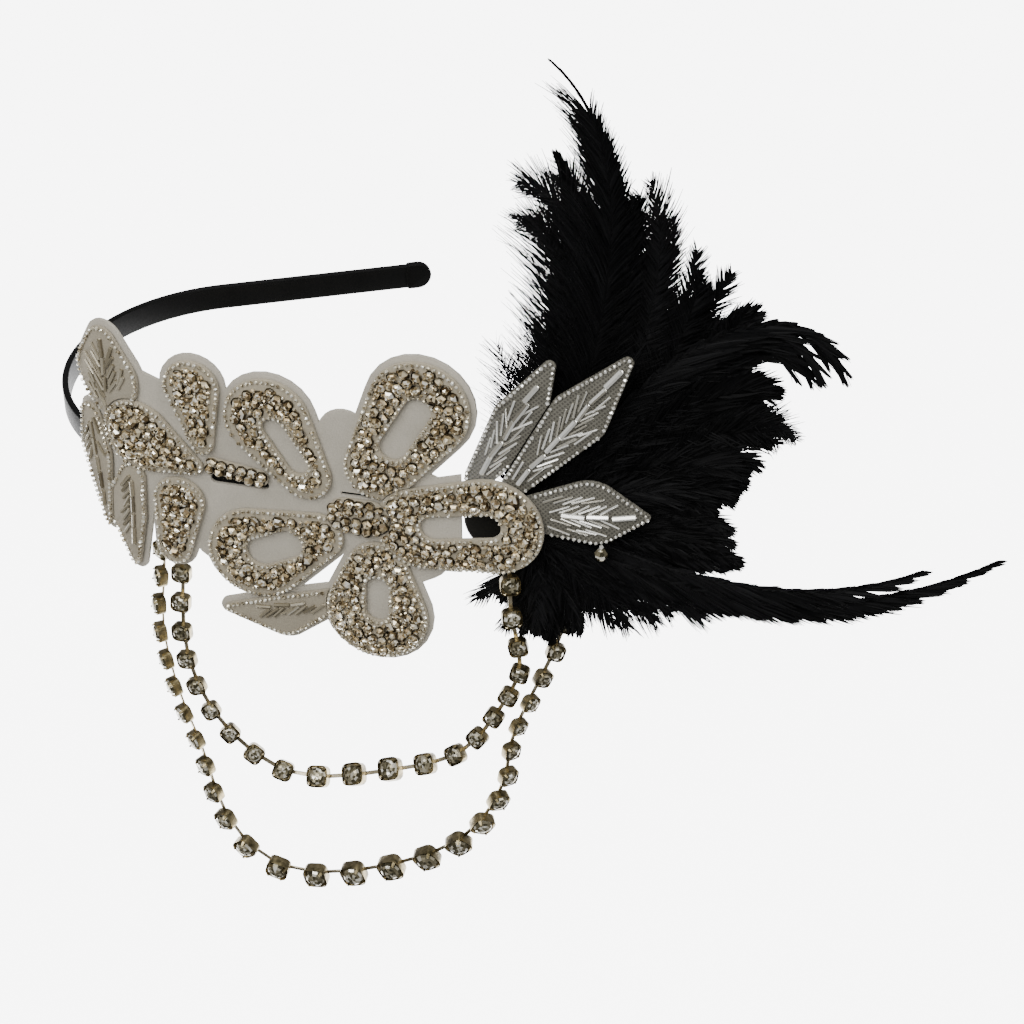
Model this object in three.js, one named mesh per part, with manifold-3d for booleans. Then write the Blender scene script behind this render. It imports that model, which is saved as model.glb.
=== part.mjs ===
// Flapper headband: a satin alice band that carries a flower of stones on felt,
// leaves of bugle beads, two festoons of cup chain and a black plume.
//
// Lengths are in millimetres, +Z is up, and the origin is the centre of the round
// crown at mid width. The band is drawn flat first: "along" runs on its outer face
// from the middle of the crown, positive towards the decorated leg, "up" is height
// and "out" is the distance outwards from that face. place() then bends it all.
import * as THREE from 'three';
import { mergeVertices } from 'three/addons/utils/BufferGeometryUtils.js';
import Module from 'manifold-3d';

const wasm = await Module();
wasm.setup();

// The band
const crownRadius = 67.5;
const legSplay = 14;
const bandLength = 346;
const bandWidth = 10;
const bandThick = 2.4;
const bandEdge = 0.7;
const endWrapLength = 9;
const endWrapProud = 0.4;

// Clearances: "seat" between pieces that lie on each other, "beside" between neighbours
const seat = 0.3;
const beside = 0.35;

// Layers of the bead work
const feltThick = 1.2;
const feltMargin = 1.8;
const padThick = 1.4;
const leafThick = 1.2;

// The flower and the buds: where their middles are, how far they reach, and how far the
// felt goes on beyond the flower's middle
const flowerAlong = 154.4;
const flowerUp = -5.5;
const petalReach = 46;
const budsApart = 58;
const budsUp = 3.5;
const budReach = 32;
const feltReach = 35.6;
const feltEndUp = 17;

// Stones, bugle beads and the loose bead
const stoneWidth = 5.4;
const stoneTable = 3;
const stoneTall = 1.9;
const stoneSunk = 0.3;
const stonePitch = 7.8;
const stoneInset = 5.6;
const bugleLength = 7;
const bugleWidth = 1.9;
const bugleTall = 1.2;
const buglePitch = 6.8;
const bugleTurn = 32;
const leastRound = 0.2;
const dropBeadWidth = 4.6;
const dropBeadFall = 3.4;
const dropBeadShift = 3.6;

// Cup chain, whose festoons are drawn from the flower's middle
const festoonReach = 100;
const cupWidth = 7.2;
const cupTall = 3.6;
const cupTable = 3.9;
const cupCrown = 1.1;
const chainPitch = 12.2;
const chainTail = 11;
const wireWidth = 1.2;

// The plume
const plumeReach = 175;
const lockWidth = 30;
const lockFlatness = 0.22;
const lockDroop = 1.4;
const plumeDepth = 20;
const plumeHeadDeep = 8;

// How far a facet may lie off the round crown, and how near a cut a corner may lie
const bendTolerance = 0.2;
const bendSnap = 0.05;

// Sides of the round shapes, and steps along a chain when its cups are spaced
const roundSides = 16;
const holeSides = 10;
const feltSides = 12;
const cutSides = 8;
const wireSides = 5;
const chainSteps = 300;

const flower = { along: flowerAlong, up: flowerUp, reach: petalReach };
const buds = { along: flowerAlong - budsApart, up: budsUp, reach: budReach };
const festoon = { along: flowerAlong, up: flowerUp, reach: festoonReach };

// Petals: a round lobe, a narrower foot and, where it is looped, an opening between them.
// Places and radii are shares of the hub's reach, and the opening runs from foot to lobe.
const petals = {
  petal_right: {
    hub: flower,
    lobe: { along: 1.0, up: 0.03, round: 0.4 },
    foot: { along: 0.46, up: -0.07, round: 0.34 },
    opening: { from: 0.2, to: 0.96, round: 0.1 },
  },
  petal_upper_right: {
    hub: flower,
    lobe: { along: 0.48, up: 0.945, round: 0.38 },
    foot: { along: 0.16, up: 0.4, round: 0.26 },
    opening: { from: 0.36, to: 0.97, round: 0.1 },
  },
  petal_upper_left: {
    hub: flower,
    lobe: { along: -0.67, up: 0.695, round: 0.335 },
    foot: { along: -0.4, up: 0.26, round: 0.2 },
    opening: { from: 0.2, to: 0.85, round: 0.08 },
  },
  petal_lower_left: {
    hub: flower,
    lobe: { along: -0.825, up: -0.49, round: 0.39 },
    foot: { along: -0.33, up: -0.26, round: 0.2 },
    opening: { from: 0.5, to: 0.92, round: 0.12 },
  },
  petal_bottom: {
    hub: flower,
    lobe: { along: 0.11, up: -0.89, round: 0.4 },
    foot: { along: 0.13, up: -0.5, round: 0.25 },
    opening: { from: 0.39, to: 0.94, round: 0.09 },
  },
  bud_left: {
    hub: buds,
    lobe: { along: -0.64, up: 0.29, round: 0.42 },
    foot: { along: 0.0, up: 0.02, round: 0.09 },
  },
  bud_upper: {
    hub: buds,
    lobe: { along: 0.03, up: 1.0, round: 0.31 },
    foot: { along: 0.1, up: 0.32, round: 0.13 },
  },
  bud_lower: {
    hub: buds,
    lobe: { along: -0.22, up: -0.44, round: 0.29 },
    foot: { along: -0.33, up: -1.08, round: 0.19 },
  },
};

// Small fields of stones: the flower's middle and the short row towards the buds
const centre = { along: -0.1, up: -0.04, toAlong: 0.09, toUp: -0.04, round: 0.15 };
const stem = { along: 0.2, up: 0.06, toAlong: 0.72, toUp: -0.02, round: 0.1 };

// Leaves: foot, widest place and tip, again as shares of the hub's reach
const feltLeaves = {
  leaf_bottom: {
    hub: flower,
    foot: { along: -0.26, up: -0.84, round: 0.1 },
    belly: { along: -0.65, up: -1.04, round: 0.18 },
    tip: { along: -1.09, up: -1.04, round: 0.035 },
  },
  leaf_upper_left: {
    hub: buds,
    foot: { along: -0.95, up: 0.47, round: 0.1 },
    belly: { along: -0.98, up: 0.92, round: 0.41 },
    tip: { along: -0.98, up: 1.31, round: 0.2 },
  },
  leaf_lower_left: {
    hub: buds,
    foot: { along: -1.28, up: 0.32, round: 0.16 },
    belly: { along: -1.26, up: -0.09, round: 0.235 },
    tip: { along: -1.17, up: -1.0, round: 0.05 },
  },
  leaf_lower_mid: {
    hub: buds,
    foot: { along: -0.76, up: -0.25, round: 0.16 },
    belly: { along: -0.9, up: -0.72, round: 0.27 },
    tip: { along: -0.83, up: -1.38, round: 0.06 },
  },
};
const netLeaves = {
  leaf_right_low: {
    hub: flower,
    foot: { along: 1.3, up: 0.17, round: 0.15 },
    belly: { along: 1.74, up: 0.25, round: 0.265 },
    tip: { along: 2.14, up: 0.27, round: 0.03 },
  },
  leaf_right_middle: {
    hub: flower,
    foot: { along: 1.16, up: 0.38, round: 0.09 },
    belly: { along: 1.63, up: 1.02, round: 0.215 },
    tip: { along: 1.965, up: 1.5, round: 0.045 },
  },
  leaf_right_top: {
    hub: flower,
    foot: { along: 0.9, up: 0.42, round: 0.1 },
    belly: { along: 1.2, up: 0.92, round: 0.2 },
    tip: { along: 1.42, up: 1.4, round: 0.045 },
  },
};

// Felt between the motifs, and the two slits through which the band shows
const feltPatches = [
  { hub: flower, along: -0.55, up: 0.1, toAlong: 0.45, toUp: 0.0, round: 0.4 },
  { hub: flower, along: -1.0, up: 0.1, toAlong: -0.7, toUp: 0.1, round: 0.3 },
  { hub: flower, along: -0.16, up: 0.4, toAlong: -0.1, toUp: 0.64, round: 0.2 },
  { hub: flower, along: 0.1, up: -0.5, toAlong: 0.45, toUp: -0.3, round: 0.24 },
  { hub: flower, along: -1.17, up: -0.3, toAlong: -1.15, toUp: -0.44, round: 0.19 },
  { hub: buds, along: -0.9, up: 0.1, toAlong: 0.3, toUp: 0.1, round: 0.62 },
  { hub: buds, along: -0.7, up: 0.7, toAlong: 0.2, toUp: 0.4, round: 0.4 },
];
const feltSlits = [
  { hub: flower, along: -1.12, up: 0.11, toAlong: -0.74, toUp: 0.11, round: 0.04 },
  { hub: flower, along: -0.13, up: 0.13, toAlong: 0.08, toUp: 0.13, round: 0.015 },
];

// Chosen points of the two chains, from the felt's lower edge to the plume's head, as
// shares of the festoons' reach: along and up from the flower's middle, and out from the
// band's outer face. "roll" turns the stones about the chain, from 0 facing outwards to 90
// facing away from the middle of the festoon, and "size" is a share of the cup's width and
// pitch there.
const chainRoutes = {
  chain_inner: [
    { along: -0.679, up: -0.275, out: -0.002, roll: 0, size: 1.0 },
    { along: -0.686, up: -0.395, out: 0.000, roll: 0, size: 1.0 },
    { along: -0.694, up: -0.608, out: 0.025, roll: 0, size: 1.0 },
    { along: -0.664, up: -0.826, out: 0.034, roll: 0, size: 0.95 },
    { along: -0.560, up: -1.033, out: 0.036, roll: -20, size: 0.95 },
    { along: -0.370, up: -1.186, out: 0.036, roll: -35, size: 1.05 },
    { along: -0.234, up: -1.202, out: 0.036, roll: -40, size: 1.18 },
    { along: 0.060, up: -1.113, out: 0.036, roll: -45, size: 1.25 },
    { along: 0.331, up: -0.984, out: 0.036, roll: -30, size: 1.05 },
    { along: 0.488, up: -0.753, out: 0.036, roll: 0, size: 0.97 },
    { along: 0.568, up: -0.549, out: 0.040, roll: 0, size: 0.97 },
    { along: 0.538, up: -0.355, out: 0.046, roll: 25, size: 1.0 },
    { along: 0.521, up: -0.175, out: 0.013, roll: 25, size: 1.0 },
    { along: 0.518, up: -0.110, out: 0.013, roll: 25, size: 1.0 },
  ],
  chain_outer: [
    { along: -0.764, up: -0.225, out: -0.003, roll: 10, size: 1.0 },
    { along: -0.780, up: -0.315, out: -0.034, roll: 10, size: 1.0 },
    { along: -0.794, up: -0.415, out: -0.036, roll: 35, size: 1.0 },
    { along: -0.812, up: -0.565, out: -0.024, roll: 38, size: 1.0 },
    { along: -0.812, up: -0.705, out: -0.015, roll: 38, size: 1.0 },
    { along: -0.770, up: -0.959, out: -0.015, roll: 30, size: 1.0 },
    { along: -0.693, up: -1.202, out: -0.015, roll: 25, size: 1.02 },
    { along: -0.637, up: -1.461, out: -0.015, roll: 20, size: 1.08 },
    { along: -0.577, up: -1.602, out: -0.015, roll: 15, size: 1.2 },
    { along: -0.465, up: -1.717, out: -0.015, roll: 10, size: 1.27 },
    { along: -0.301, up: -1.749, out: -0.015, roll: 5, size: 1.3 },
    { along: 0.061, up: -1.629, out: -0.015, roll: 5, size: 1.38 },
    { along: 0.338, up: -1.435, out: -0.015, roll: 20, size: 1.28 },
    { along: 0.492, up: -1.155, out: -0.015, roll: 45, size: 1.05 },
    { along: 0.528, up: -0.915, out: -0.022, roll: 50, size: 0.92 },
    { along: 0.590, up: -0.741, out: -0.045, roll: 45, size: 0.92 },
    { along: 0.669, up: -0.529, out: -0.098, roll: 20, size: 0.95 },
    { along: 0.696, up: -0.375, out: -0.126, roll: 0, size: 1.0 },
    { along: 0.691, up: -0.245, out: -0.124, roll: 0, size: 1.0 },
    { along: 0.674, up: -0.160, out: -0.092, roll: 0, size: 1.0 },
    { along: 0.666, up: -0.105, out: -0.086, roll: 0, size: 1.0 },
  ],
};

// The plume: its bound head, and a row for each lock. "along" and "up" place a lock's tip
// from the root as shares of the reach, "bow" is how far its middle swings to the left of
// the straight way as a share of its length, and width and lean are shares of the lock
// width and the plume's depth.
const plumeHead = { along: 1.02, up: -0.04, toAlong: 1.36, toUp: -0.01, round: 0.27 };
const plumeRoot = { along: 1.29, up: -0.03 };
const plumeLocks = [
  { along: 0.0, up: 0.92, bow: -0.3, width: 0.5, lean: -0.35 },
  { along: 0.05, up: 0.81, bow: -0.14, width: 0.85, lean: -0.75 },
  { along: -0.06, up: 0.68, bow: -0.14, width: 0.9, lean: -0.45 },
  { along: 0.14, up: 0.75, bow: -0.1, width: 1.0, lean: -0.9 },
  { along: -0.08, up: 0.57, bow: -0.14, width: 0.95, lean: -0.3 },
  { along: -0.09, up: 0.46, bow: -0.12, width: 0.9, lean: -0.6 },
  { along: -0.07, up: 0.39, bow: -0.1, width: 0.8, lean: -0.35 },
  { along: 0.22, up: 0.71, bow: -0.04, width: 0.9, lean: -0.4 },
  { along: 0.27, up: 0.62, bow: 0.0, width: 1.0, lean: -0.7 },
  { along: 0.35, up: 0.59, bow: 0.05, width: 0.9, lean: -0.4 },
  { along: 0.54, up: 0.41, bow: 0.4, width: 0.7, lean: -0.5 },
  { along: 0.39, up: 0.51, bow: 0.1, width: 1.0, lean: -0.85 },
  { along: 0.46, up: 0.36, bow: 0.18, width: 1.0, lean: -0.4 },
  { along: 0.46, up: 0.26, bow: 0.14, width: 1.05, lean: -0.65 },
  { along: 0.47, up: 0.2, bow: 0.08, width: 1.05, lean: -0.4 },
  { along: 0.38, up: 0.07, bow: 0.04, width: 0.95, lean: -0.55 },
  { along: 0.87, up: 0.04, bow: -0.28, width: 0.5, lean: -0.2 },
  { along: 0.65, up: -0.13, bow: -0.12, width: 0.5, lean: -0.2 },
  { along: 0.54, up: -0.17, bow: -0.06, width: 0.55, lean: -0.15 },
  { along: 0.43, up: -0.2, bow: -0.04, width: 0.65, lean: -0.15 },
  { along: 0.3, up: -0.21, bow: -0.02, width: 0.7, lean: -0.1 },
  { along: 0.15, up: -0.25, bow: 0.04, width: 0.7, lean: -0.05 },
  { along: 0.05, up: -0.28, bow: 0.02, width: 0.75, lean: -0.05 },
  { along: -0.07, up: -0.27, bow: -0.04, width: 0.75, lean: -0.1 },
  { along: -0.15, up: -0.18, bow: -0.08, width: 0.75, lean: -0.15 },
];
const lockStations = [0.6, 0.92, 1.0, 0.88, 0.6];
const lockSides = 6;

const finishes = {
  satin: { color: 0x0b0b0c, roughness: 0.62, metalness: 0 },
  felt: { color: 0xd8d6d1, roughness: 0.95, metalness: 0 },
  stones: { color: 0xc9bda6, roughness: 0.2, metalness: 0.6 },
  bugles: { color: 0xcfc6b2, roughness: 0.3, metalness: 0.5 },
  net: { color: 0xb4b8b8, roughness: 0.5, metalness: 0.3 },
  chain: { color: 0xa8905c, roughness: 0.3, metalness: 0.8 },
  feather: { color: 0x060607, roughness: 0.8, metalness: 0 },
};

const feltLow = endWrapProud + seat;
const feltHigh = feltLow + feltThick;
const padLow = feltHigh + seat;
const padHigh = padLow + padThick;
const plumeHigh = feltLow - seat;
const legTurn = Math.PI / 2 - THREE.MathUtils.degToRad(legSplay);
const crownHalf = crownRadius * legTurn;

/** The bent place of a flat point. */
function place(along, up, out) {
  const side = along < 0 ? 1 : -1;
  const run = Math.abs(along);
  const turn = Math.min(run / crownRadius, legTurn);
  const straight = Math.max(run - crownHalf, 0);
  const x = -(crownRadius + out) * Math.cos(turn) + straight * Math.sin(turn);
  const y = (crownRadius + out) * Math.sin(turn) + straight * Math.cos(turn);
  return new THREE.Vector3(x, side * y, up);
}

/** A circle of a motif, from shares of its hub's reach to millimetres. */
function circleAt(hub, { along, up, round = 0 }) {
  return {
    along: hub.along + along * hub.reach,
    up: hub.up + up * hub.reach,
    round: round * hub.reach,
  };
}

/** The two circles of a patch that runs from one place to another. */
function patchCircles(hub, patch) {
  const far = { along: patch.toAlong, up: patch.toUp, round: patch.round };
  return [circleAt(hub, patch), circleAt(hub, far)];
}

const grown = (circles, by) => circles.map((circle) => ({ ...circle, round: circle.round + by }));

/** The outline that a band stretched round the circles would take, anticlockwise. */
function outlineRound(circles, sides = roundSides) {
  const points = circles.flatMap(({ along, up, round }) =>
    Array.from({ length: sides }, (_, step) => {
      const angle = (2 * Math.PI * (step + 0.5)) / sides;
      return new THREE.Vector2(along + round * Math.cos(angle), up + round * Math.sin(angle));
    }));
  points.sort((a, b) => a.x - b.x || a.y - b.y);
  const half = (list) => {
    const chain = [];
    for (const point of list) {
      while (chain.length > 1) {
        const [before, last] = chain.slice(-2);
        const turn = last.clone().sub(before).cross(point.clone().sub(last));
        if (turn > 1e-9) break;
        chain.pop();
      }
      chain.push(point);
    }
    return chain.slice(0, -1);
  };
  return [...half(points), ...half([...points].reverse())];
}

/** True where a point lies inside the outline, at least "margin" from its edge. */
function inside(outline, point, margin) {
  return outline.every((corner, index) => {
    const next = outline[(index + 1) % outline.length];
    const edge = next.clone().sub(corner);
    return edge.cross(point.clone().sub(corner)) / edge.length() >= margin;
  });
}

/** Points spaced evenly round a closed outline. */
function pointsRound(outline, pitch) {
  const loop = new THREE.CurvePath();
  outline.forEach((corner, index) => {
    loop.add(new THREE.LineCurve(corner, outline[(index + 1) % outline.length]));
  });
  const count = Math.max(3, Math.floor(loop.getLength() / pitch));
  return Array.from({ length: count }, (_, step) => loop.getPointAt(step / count));
}

/** A closed three.js geometry as a solid that can be joined and cut. */
function solidOf(geometry) {
  geometry.deleteAttribute('normal');
  geometry.deleteAttribute('uv');
  const merged = mergeVertices(geometry, 1e-4);
  const triangles = [];
  const index = merged.index.array;
  for (let at = 0; at < index.length; at += 3) {
    const [a, b, c] = index.slice(at, at + 3);
    if (a !== b && b !== c && c !== a) triangles.push(a, b, c);
  }
  return new wasm.Manifold(new wasm.Mesh({
    numProp: 3,
    vertProperties: new Float32Array(merged.attributes.position.array),
    triVerts: new Uint32Array(triangles),
  }));
}

/** A flat slab between two heights, with the outline of the circles. */
function slab(circles, low, high, sides = roundSides) {
  const shape = new THREE.Shape(outlineRound(circles, sides));
  const geometry = new THREE.ExtrudeGeometry(shape, { depth: high - low, bevelEnabled: false });
  return solidOf(geometry.translate(0, 0, low));
}

const joined = (solids) => solids.reduce((whole, solid) => whole.add(solid));
const cutBy = (solid, cutters) => cutters.reduce((rest, cutter) => rest.subtract(cutter), solid);

/** A cut stone: facets round a table, its foot sunk in what carries it. */
function stoneAt(along, up, floor) {
  const tall = stoneTall + stoneSunk;
  const geometry = new THREE.CylinderGeometry(stoneTable / 2, stoneWidth / 2, tall, cutSides);
  geometry.rotateX(Math.PI / 2).rotateZ(Math.PI / cutSides);
  return solidOf(geometry.translate(along, up, floor + (stoneTall - stoneSunk) / 2));
}

/** Flat convex faces cut in two where they cross one place along the band. */
function slicedAt(station, points, faces) {
  const crossings = new Map();
  const sideOf = (index) => {
    const distance = points[index].x - station;
    return Math.abs(distance) < bendSnap ? 0 : Math.sign(distance);
  };
  const crossing = (a, b) => {
    const [low, high] = a < b ? [a, b] : [b, a];
    const key = `${low} ${high}`;
    if (!crossings.has(key)) {
      const [from, to] = [points[low], points[high]];
      const share = (station - from.x) / (to.x - from.x);
      crossings.set(key, points.push(from.clone().lerp(to, share)) - 1);
    }
    return crossings.get(key);
  };
  return faces.flatMap((face) => {
    const sides = face.map(sideOf);
    if (!sides.includes(1) || !sides.includes(-1)) return [face];
    const before = [];
    const after = [];
    face.forEach((corner, index) => {
      const next = (index + 1) % face.length;
      if (sides[index] <= 0) before.push(corner);
      if (sides[index] >= 0) after.push(corner);
      if (sides[index] * sides[next] < 0) {
        const middle = crossing(corner, face[next]);
        before.push(middle);
        after.push(middle);
      }
    });
    return [before, after];
  });
}

/** The bent mesh of a flat solid, cut across wherever the round crown needs a new facet. */
function bent(solid) {
  const { vertProperties, triVerts } = solid.getMesh();
  const points = [];
  for (let at = 0; at < vertProperties.length; at += 3) {
    points.push(new THREE.Vector3(...vertProperties.slice(at, at + 3)));
  }
  let faces = [];
  for (let at = 0; at < triVerts.length; at += 3) faces.push([...triVerts.slice(at, at + 3)]);
  const facets = Math.ceil(crownHalf / Math.sqrt(8 * crownRadius * bendTolerance));
  for (let facet = -facets; facet <= facets; facet += 1) {
    faces = slicedAt((facet * crownHalf) / facets, points, faces);
  }
  const triangles = faces.flatMap(([first, ...rest]) =>
    rest.slice(1).flatMap((corner, index) => [first, rest[index], corner]));
  const placed = points.flatMap(({ x, y, z }) => place(x, y, z).toArray());
  const geometry = new THREE.BufferGeometry();
  geometry.setAttribute('position', new THREE.Float32BufferAttribute(placed, 3));
  geometry.setIndex(triangles);
  geometry.computeVertexNormals();
  return geometry;
}

/** The satin band: a rounded strip with a slightly thicker wrap at each end. */
function headbandSolid() {
  const halfWidth = bandWidth / 2;
  const section = new THREE.Shape([
    new THREE.Vector2(-halfWidth + bandEdge, -bandThick),
    new THREE.Vector2(halfWidth - bandEdge, -bandThick),
    new THREE.Vector2(halfWidth, bandEdge - bandThick),
    new THREE.Vector2(halfWidth, -bandEdge),
    new THREE.Vector2(halfWidth - bandEdge, 0),
    new THREE.Vector2(-halfWidth + bandEdge, 0),
    new THREE.Vector2(-halfWidth, -bandEdge),
    new THREE.Vector2(-halfWidth, bandEdge - bandThick),
  ]);
  const stripLength = bandLength - bandWidth;
  const strip = new THREE.ExtrudeGeometry(section, { depth: stripLength, bevelEnabled: false });
  strip.translate(0, 0, -stripLength / 2);
  strip.applyMatrix4(new THREE.Matrix4().makeBasis(
    new THREE.Vector3(0, 1, 0), new THREE.Vector3(0, 0, 1), new THREE.Vector3(1, 0, 0)));
  const wraps = [-1, 1].map((side) => {
    const round = halfWidth + endWrapProud;
    const tip = { along: side * (bandLength / 2 - round), up: 0, round };
    const corners = [-1, 1].map((edge) => ({
      along: side * (bandLength / 2 - endWrapLength),
      up: edge * (round - endWrapProud),
      round: endWrapProud,
    }));
    return slab([...corners, tip], -bandThick - endWrapProud, endWrapProud, holeSides);
  });
  return joined([solidOf(strip), ...wraps]);
}

const petalCircles = ({ hub, lobe, foot }) => [circleAt(hub, lobe), circleAt(hub, foot)];
const leafCircles = ({ hub, foot, belly, tip }) =>
  [foot, belly, tip].map((circle) => circleAt(hub, circle));

/** The opening of a looped petal, between shares of the way from foot to lobe. */
function openingCircles({ hub, lobe, foot, opening }) {
  return [opening.from, opening.to].map((share) => circleAt(hub, {
    along: foot.along + share * (lobe.along - foot.along),
    up: foot.up + share * (lobe.up - foot.up),
    round: opening.round,
  }));
}

/** Stones in a row round a motif, left out where a neighbour or an opening is near. */
function stoneRow(circles, inset, avoided, floor) {
  const narrowed = circles.map((circle) =>
    ({ ...circle, round: Math.max(circle.round - inset, leastRound) }));
  const clear = stoneWidth / 2 + beside;
  return pointsRound(outlineRound(narrowed), stonePitch)
    .filter((point) => inside(outlineRound(circles), point, stoneWidth / 2))
    .filter((point) => !avoided.some((other) => inside(outlineRound(grown(other, clear)), point, 0)))
    .map(({ x, y }) => stoneAt(x, y, floor));
}

/** A petal: its pad with a row of stones, cut clear of the motifs that lie before it. */
function petalSolid(petal, before) {
  const circles = petalCircles(petal);
  let pad = slab(circles, padLow, padHigh);
  const avoided = [...before];
  if (petal.opening) {
    const hole = openingCircles(petal);
    pad = pad.subtract(slab(hole, feltLow, padHigh + stoneTall, holeSides));
    avoided.push(hole);
  }
  pad = cutClear(pad, before);
  return joined([pad, ...stoneRow(circles, stoneInset, avoided, padHigh)]);
}

/** A solid on the felt with the room of other motifs taken out of it. */
function cutClear(solid, before) {
  const rooms = before.map((circles) =>
    slab(grown(circles, beside), feltLow - seat, padHigh + stoneTall + seat));
  return cutBy(solid, rooms);
}

/** A short field of stones, set in one line between two places. */
function stoneField(circles, count, before) {
  const pad = cutClear(slab(circles, padLow, padHigh), before);
  const [from, to] = circles;
  const stones = Array.from({ length: count }, (_, index) => {
    const share = (index + 0.5) / count;
    const along = from.along + share * (to.along - from.along);
    const up = from.up + share * (to.up - from.up);
    return stoneAt(along, up, padHigh);
  });
  return joined([pad, ...stones]);
}

/** A leaf: a thin sheet with bugle beads laid herringbone from foot to tip. */
function leafSolid(leaf, low, before, above = []) {
  const circles = leafCircles(leaf);
  const high = low + leafThick;
  const sheet = cutClear(slab(circles, low, high), before);
  const [foot, , tip] = circles;
  const start = new THREE.Vector2(foot.along, foot.up);
  const run = new THREE.Vector2(tip.along, tip.up).sub(start);
  const heading = run.angle();
  const count = Math.floor(run.length() / buglePitch);
  const outline = outlineRound(circles);
  const bugles = [];
  for (let row = 0; row < count; row += 1) {
    for (const side of [-1, 1]) {
      const angle = heading + side * THREE.MathUtils.degToRad(bugleTurn);
      const half = new THREE.Vector2(Math.cos(angle), Math.sin(angle)).multiplyScalar(bugleLength / 2);
      const across = new THREE.Vector2(-Math.sin(heading), Math.cos(heading)).multiplyScalar(side);
      const middle = start.clone().addScaledVector(run, (row + 0.5) / count)
        .addScaledVector(across, bugleLength / 2);
      const ends = [middle.clone().sub(half), middle.clone().add(half)];
      const fits = ends.every((end) => inside(outline, end, bugleWidth / 2)
        && ![...before, ...above].some((other) =>
          inside(outlineRound(grown(other, bugleWidth)), end, 0)));
      if (!fits) continue;
      const bar = new THREE.BoxGeometry(bugleLength, bugleWidth, bugleTall + seat);
      bar.rotateZ(angle).translate(middle.x, middle.y, high + (bugleTall - seat) / 2);
      bugles.push(solidOf(bar));
    }
  }
  return joined([sheet, ...bugles]);
}

/** The felt: all the motifs' outlines grown by a margin, with its slits cut through. */
function feltSolid(motifs) {
  const layer = (circles) => slab(circles, feltLow, feltHigh, feltSides);
  const sheets = motifs.map((circles) => layer(grown(circles, feltMargin)));
  const patches = feltPatches.map((patch) => layer(patchCircles(patch.hub, patch)));
  const slits = feltSlits.map((slit) =>
    slab(patchCircles(slit.hub, slit), feltLow - seat, feltHigh + seat, holeSides));
  const beyond = new THREE.BoxGeometry(petalReach, 2 * petalReach, 4 * feltThick);
  beyond.translate(flowerAlong + feltReach + petalReach / 2, feltEndUp - petalReach, feltHigh);
  return cutBy(joined([...sheets, ...patches]), [...slits, solidOf(beyond)]);
}

/** A cup with its stone, its face turned outwards, centred on the chain's line. */
function cupGeometry(size) {
  const half = cupTall / 2;
  const profile = [[0, -half], [cupWidth / 2, -half], [cupWidth / 2, half],
    [cupTable / 2, half + cupCrown], [0, half + cupCrown]];
  const points = profile.map(([x, y]) => new THREE.Vector2(x, y).multiplyScalar(size));
  return new THREE.LatheGeometry(points, cutSides).rotateY(Math.PI / cutSides).rotateX(Math.PI / 2);
}

/** Shares of the chain's length at which its cups sit, farther apart where they are larger. */
function cupShares(length, sizeAt) {
  const cupped = length - 2 * chainTail;
  const shareAt = (step) => (chainTail + (cupped * step) / chainSteps) / length;
  const passed = [0];
  for (let step = 1; step <= chainSteps; step += 1) {
    const pitch = chainPitch * sizeAt(shareAt(step - 0.5));
    passed.push(passed[step - 1] + cupped / chainSteps / pitch);
  }
  const gaps = Math.round(passed[chainSteps]);
  return Array.from({ length: gaps + 1 }, (_, index) => {
    const wanted = (index * passed[chainSteps]) / gaps;
    const step = passed.findIndex((count) => count >= wanted);
    return shareAt(step < 0 ? chainSteps : step);
  });
}

/** A festoon: cups along the route, fused by the wire between them. */
function chainSolid(route) {
  const curve = new THREE.CatmullRomCurve3(
    route.map((stop) => {
      const { along, up } = circleAt(festoon, stop);
      return new THREE.Vector3(along, up, stop.out * festoon.reach);
    }), false, 'centripetal');
  const length = curve.getLength();
  const valueAt = (column) => (share) => {
    const spot = curve.getUtoTmapping(share) * (route.length - 1);
    const before = Math.min(Math.floor(spot), route.length - 2);
    return THREE.MathUtils.lerp(route[before][column], route[before + 1][column], spot - before);
  };
  const rollAt = valueAt('roll');
  const sizeAt = valueAt('size');
  const shares = cupShares(length, sizeAt);
  const cups = shares.map((share) => {
    const tangent = curve.getTangentAt(share);
    const face = new THREE.Vector3(0, 0, 1).addScaledVector(tangent, -tangent.z).normalize();
    face.applyAxisAngle(tangent, THREE.MathUtils.degToRad(rollAt(share)));
    const across = new THREE.Vector3().crossVectors(face, tangent);
    const frame = new THREE.Matrix4().makeBasis(tangent, across, face);
    frame.setPosition(curve.getPointAt(share));
    return solidOf(cupGeometry(sizeAt(share)).applyMatrix4(frame));
  });
  const tailBend = chainTail / 2 / length;
  const stops = [0, tailBend, ...shares, 1 - tailBend, 1].map((share) => curve.getPointAt(share));
  const section = new THREE.Shape(
    outlineRound([{ along: 0, up: 0, round: wireWidth / 2 }], wireSides));
  const wires = stops.slice(1).map((to, index) => {
    const extrudePath = new THREE.LineCurve3(stops[index], to);
    return solidOf(new THREE.ExtrudeGeometry(section, { steps: 1, bevelEnabled: false, extrudePath }));
  });
  return joined([...cups, ...wires]);
}

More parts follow.
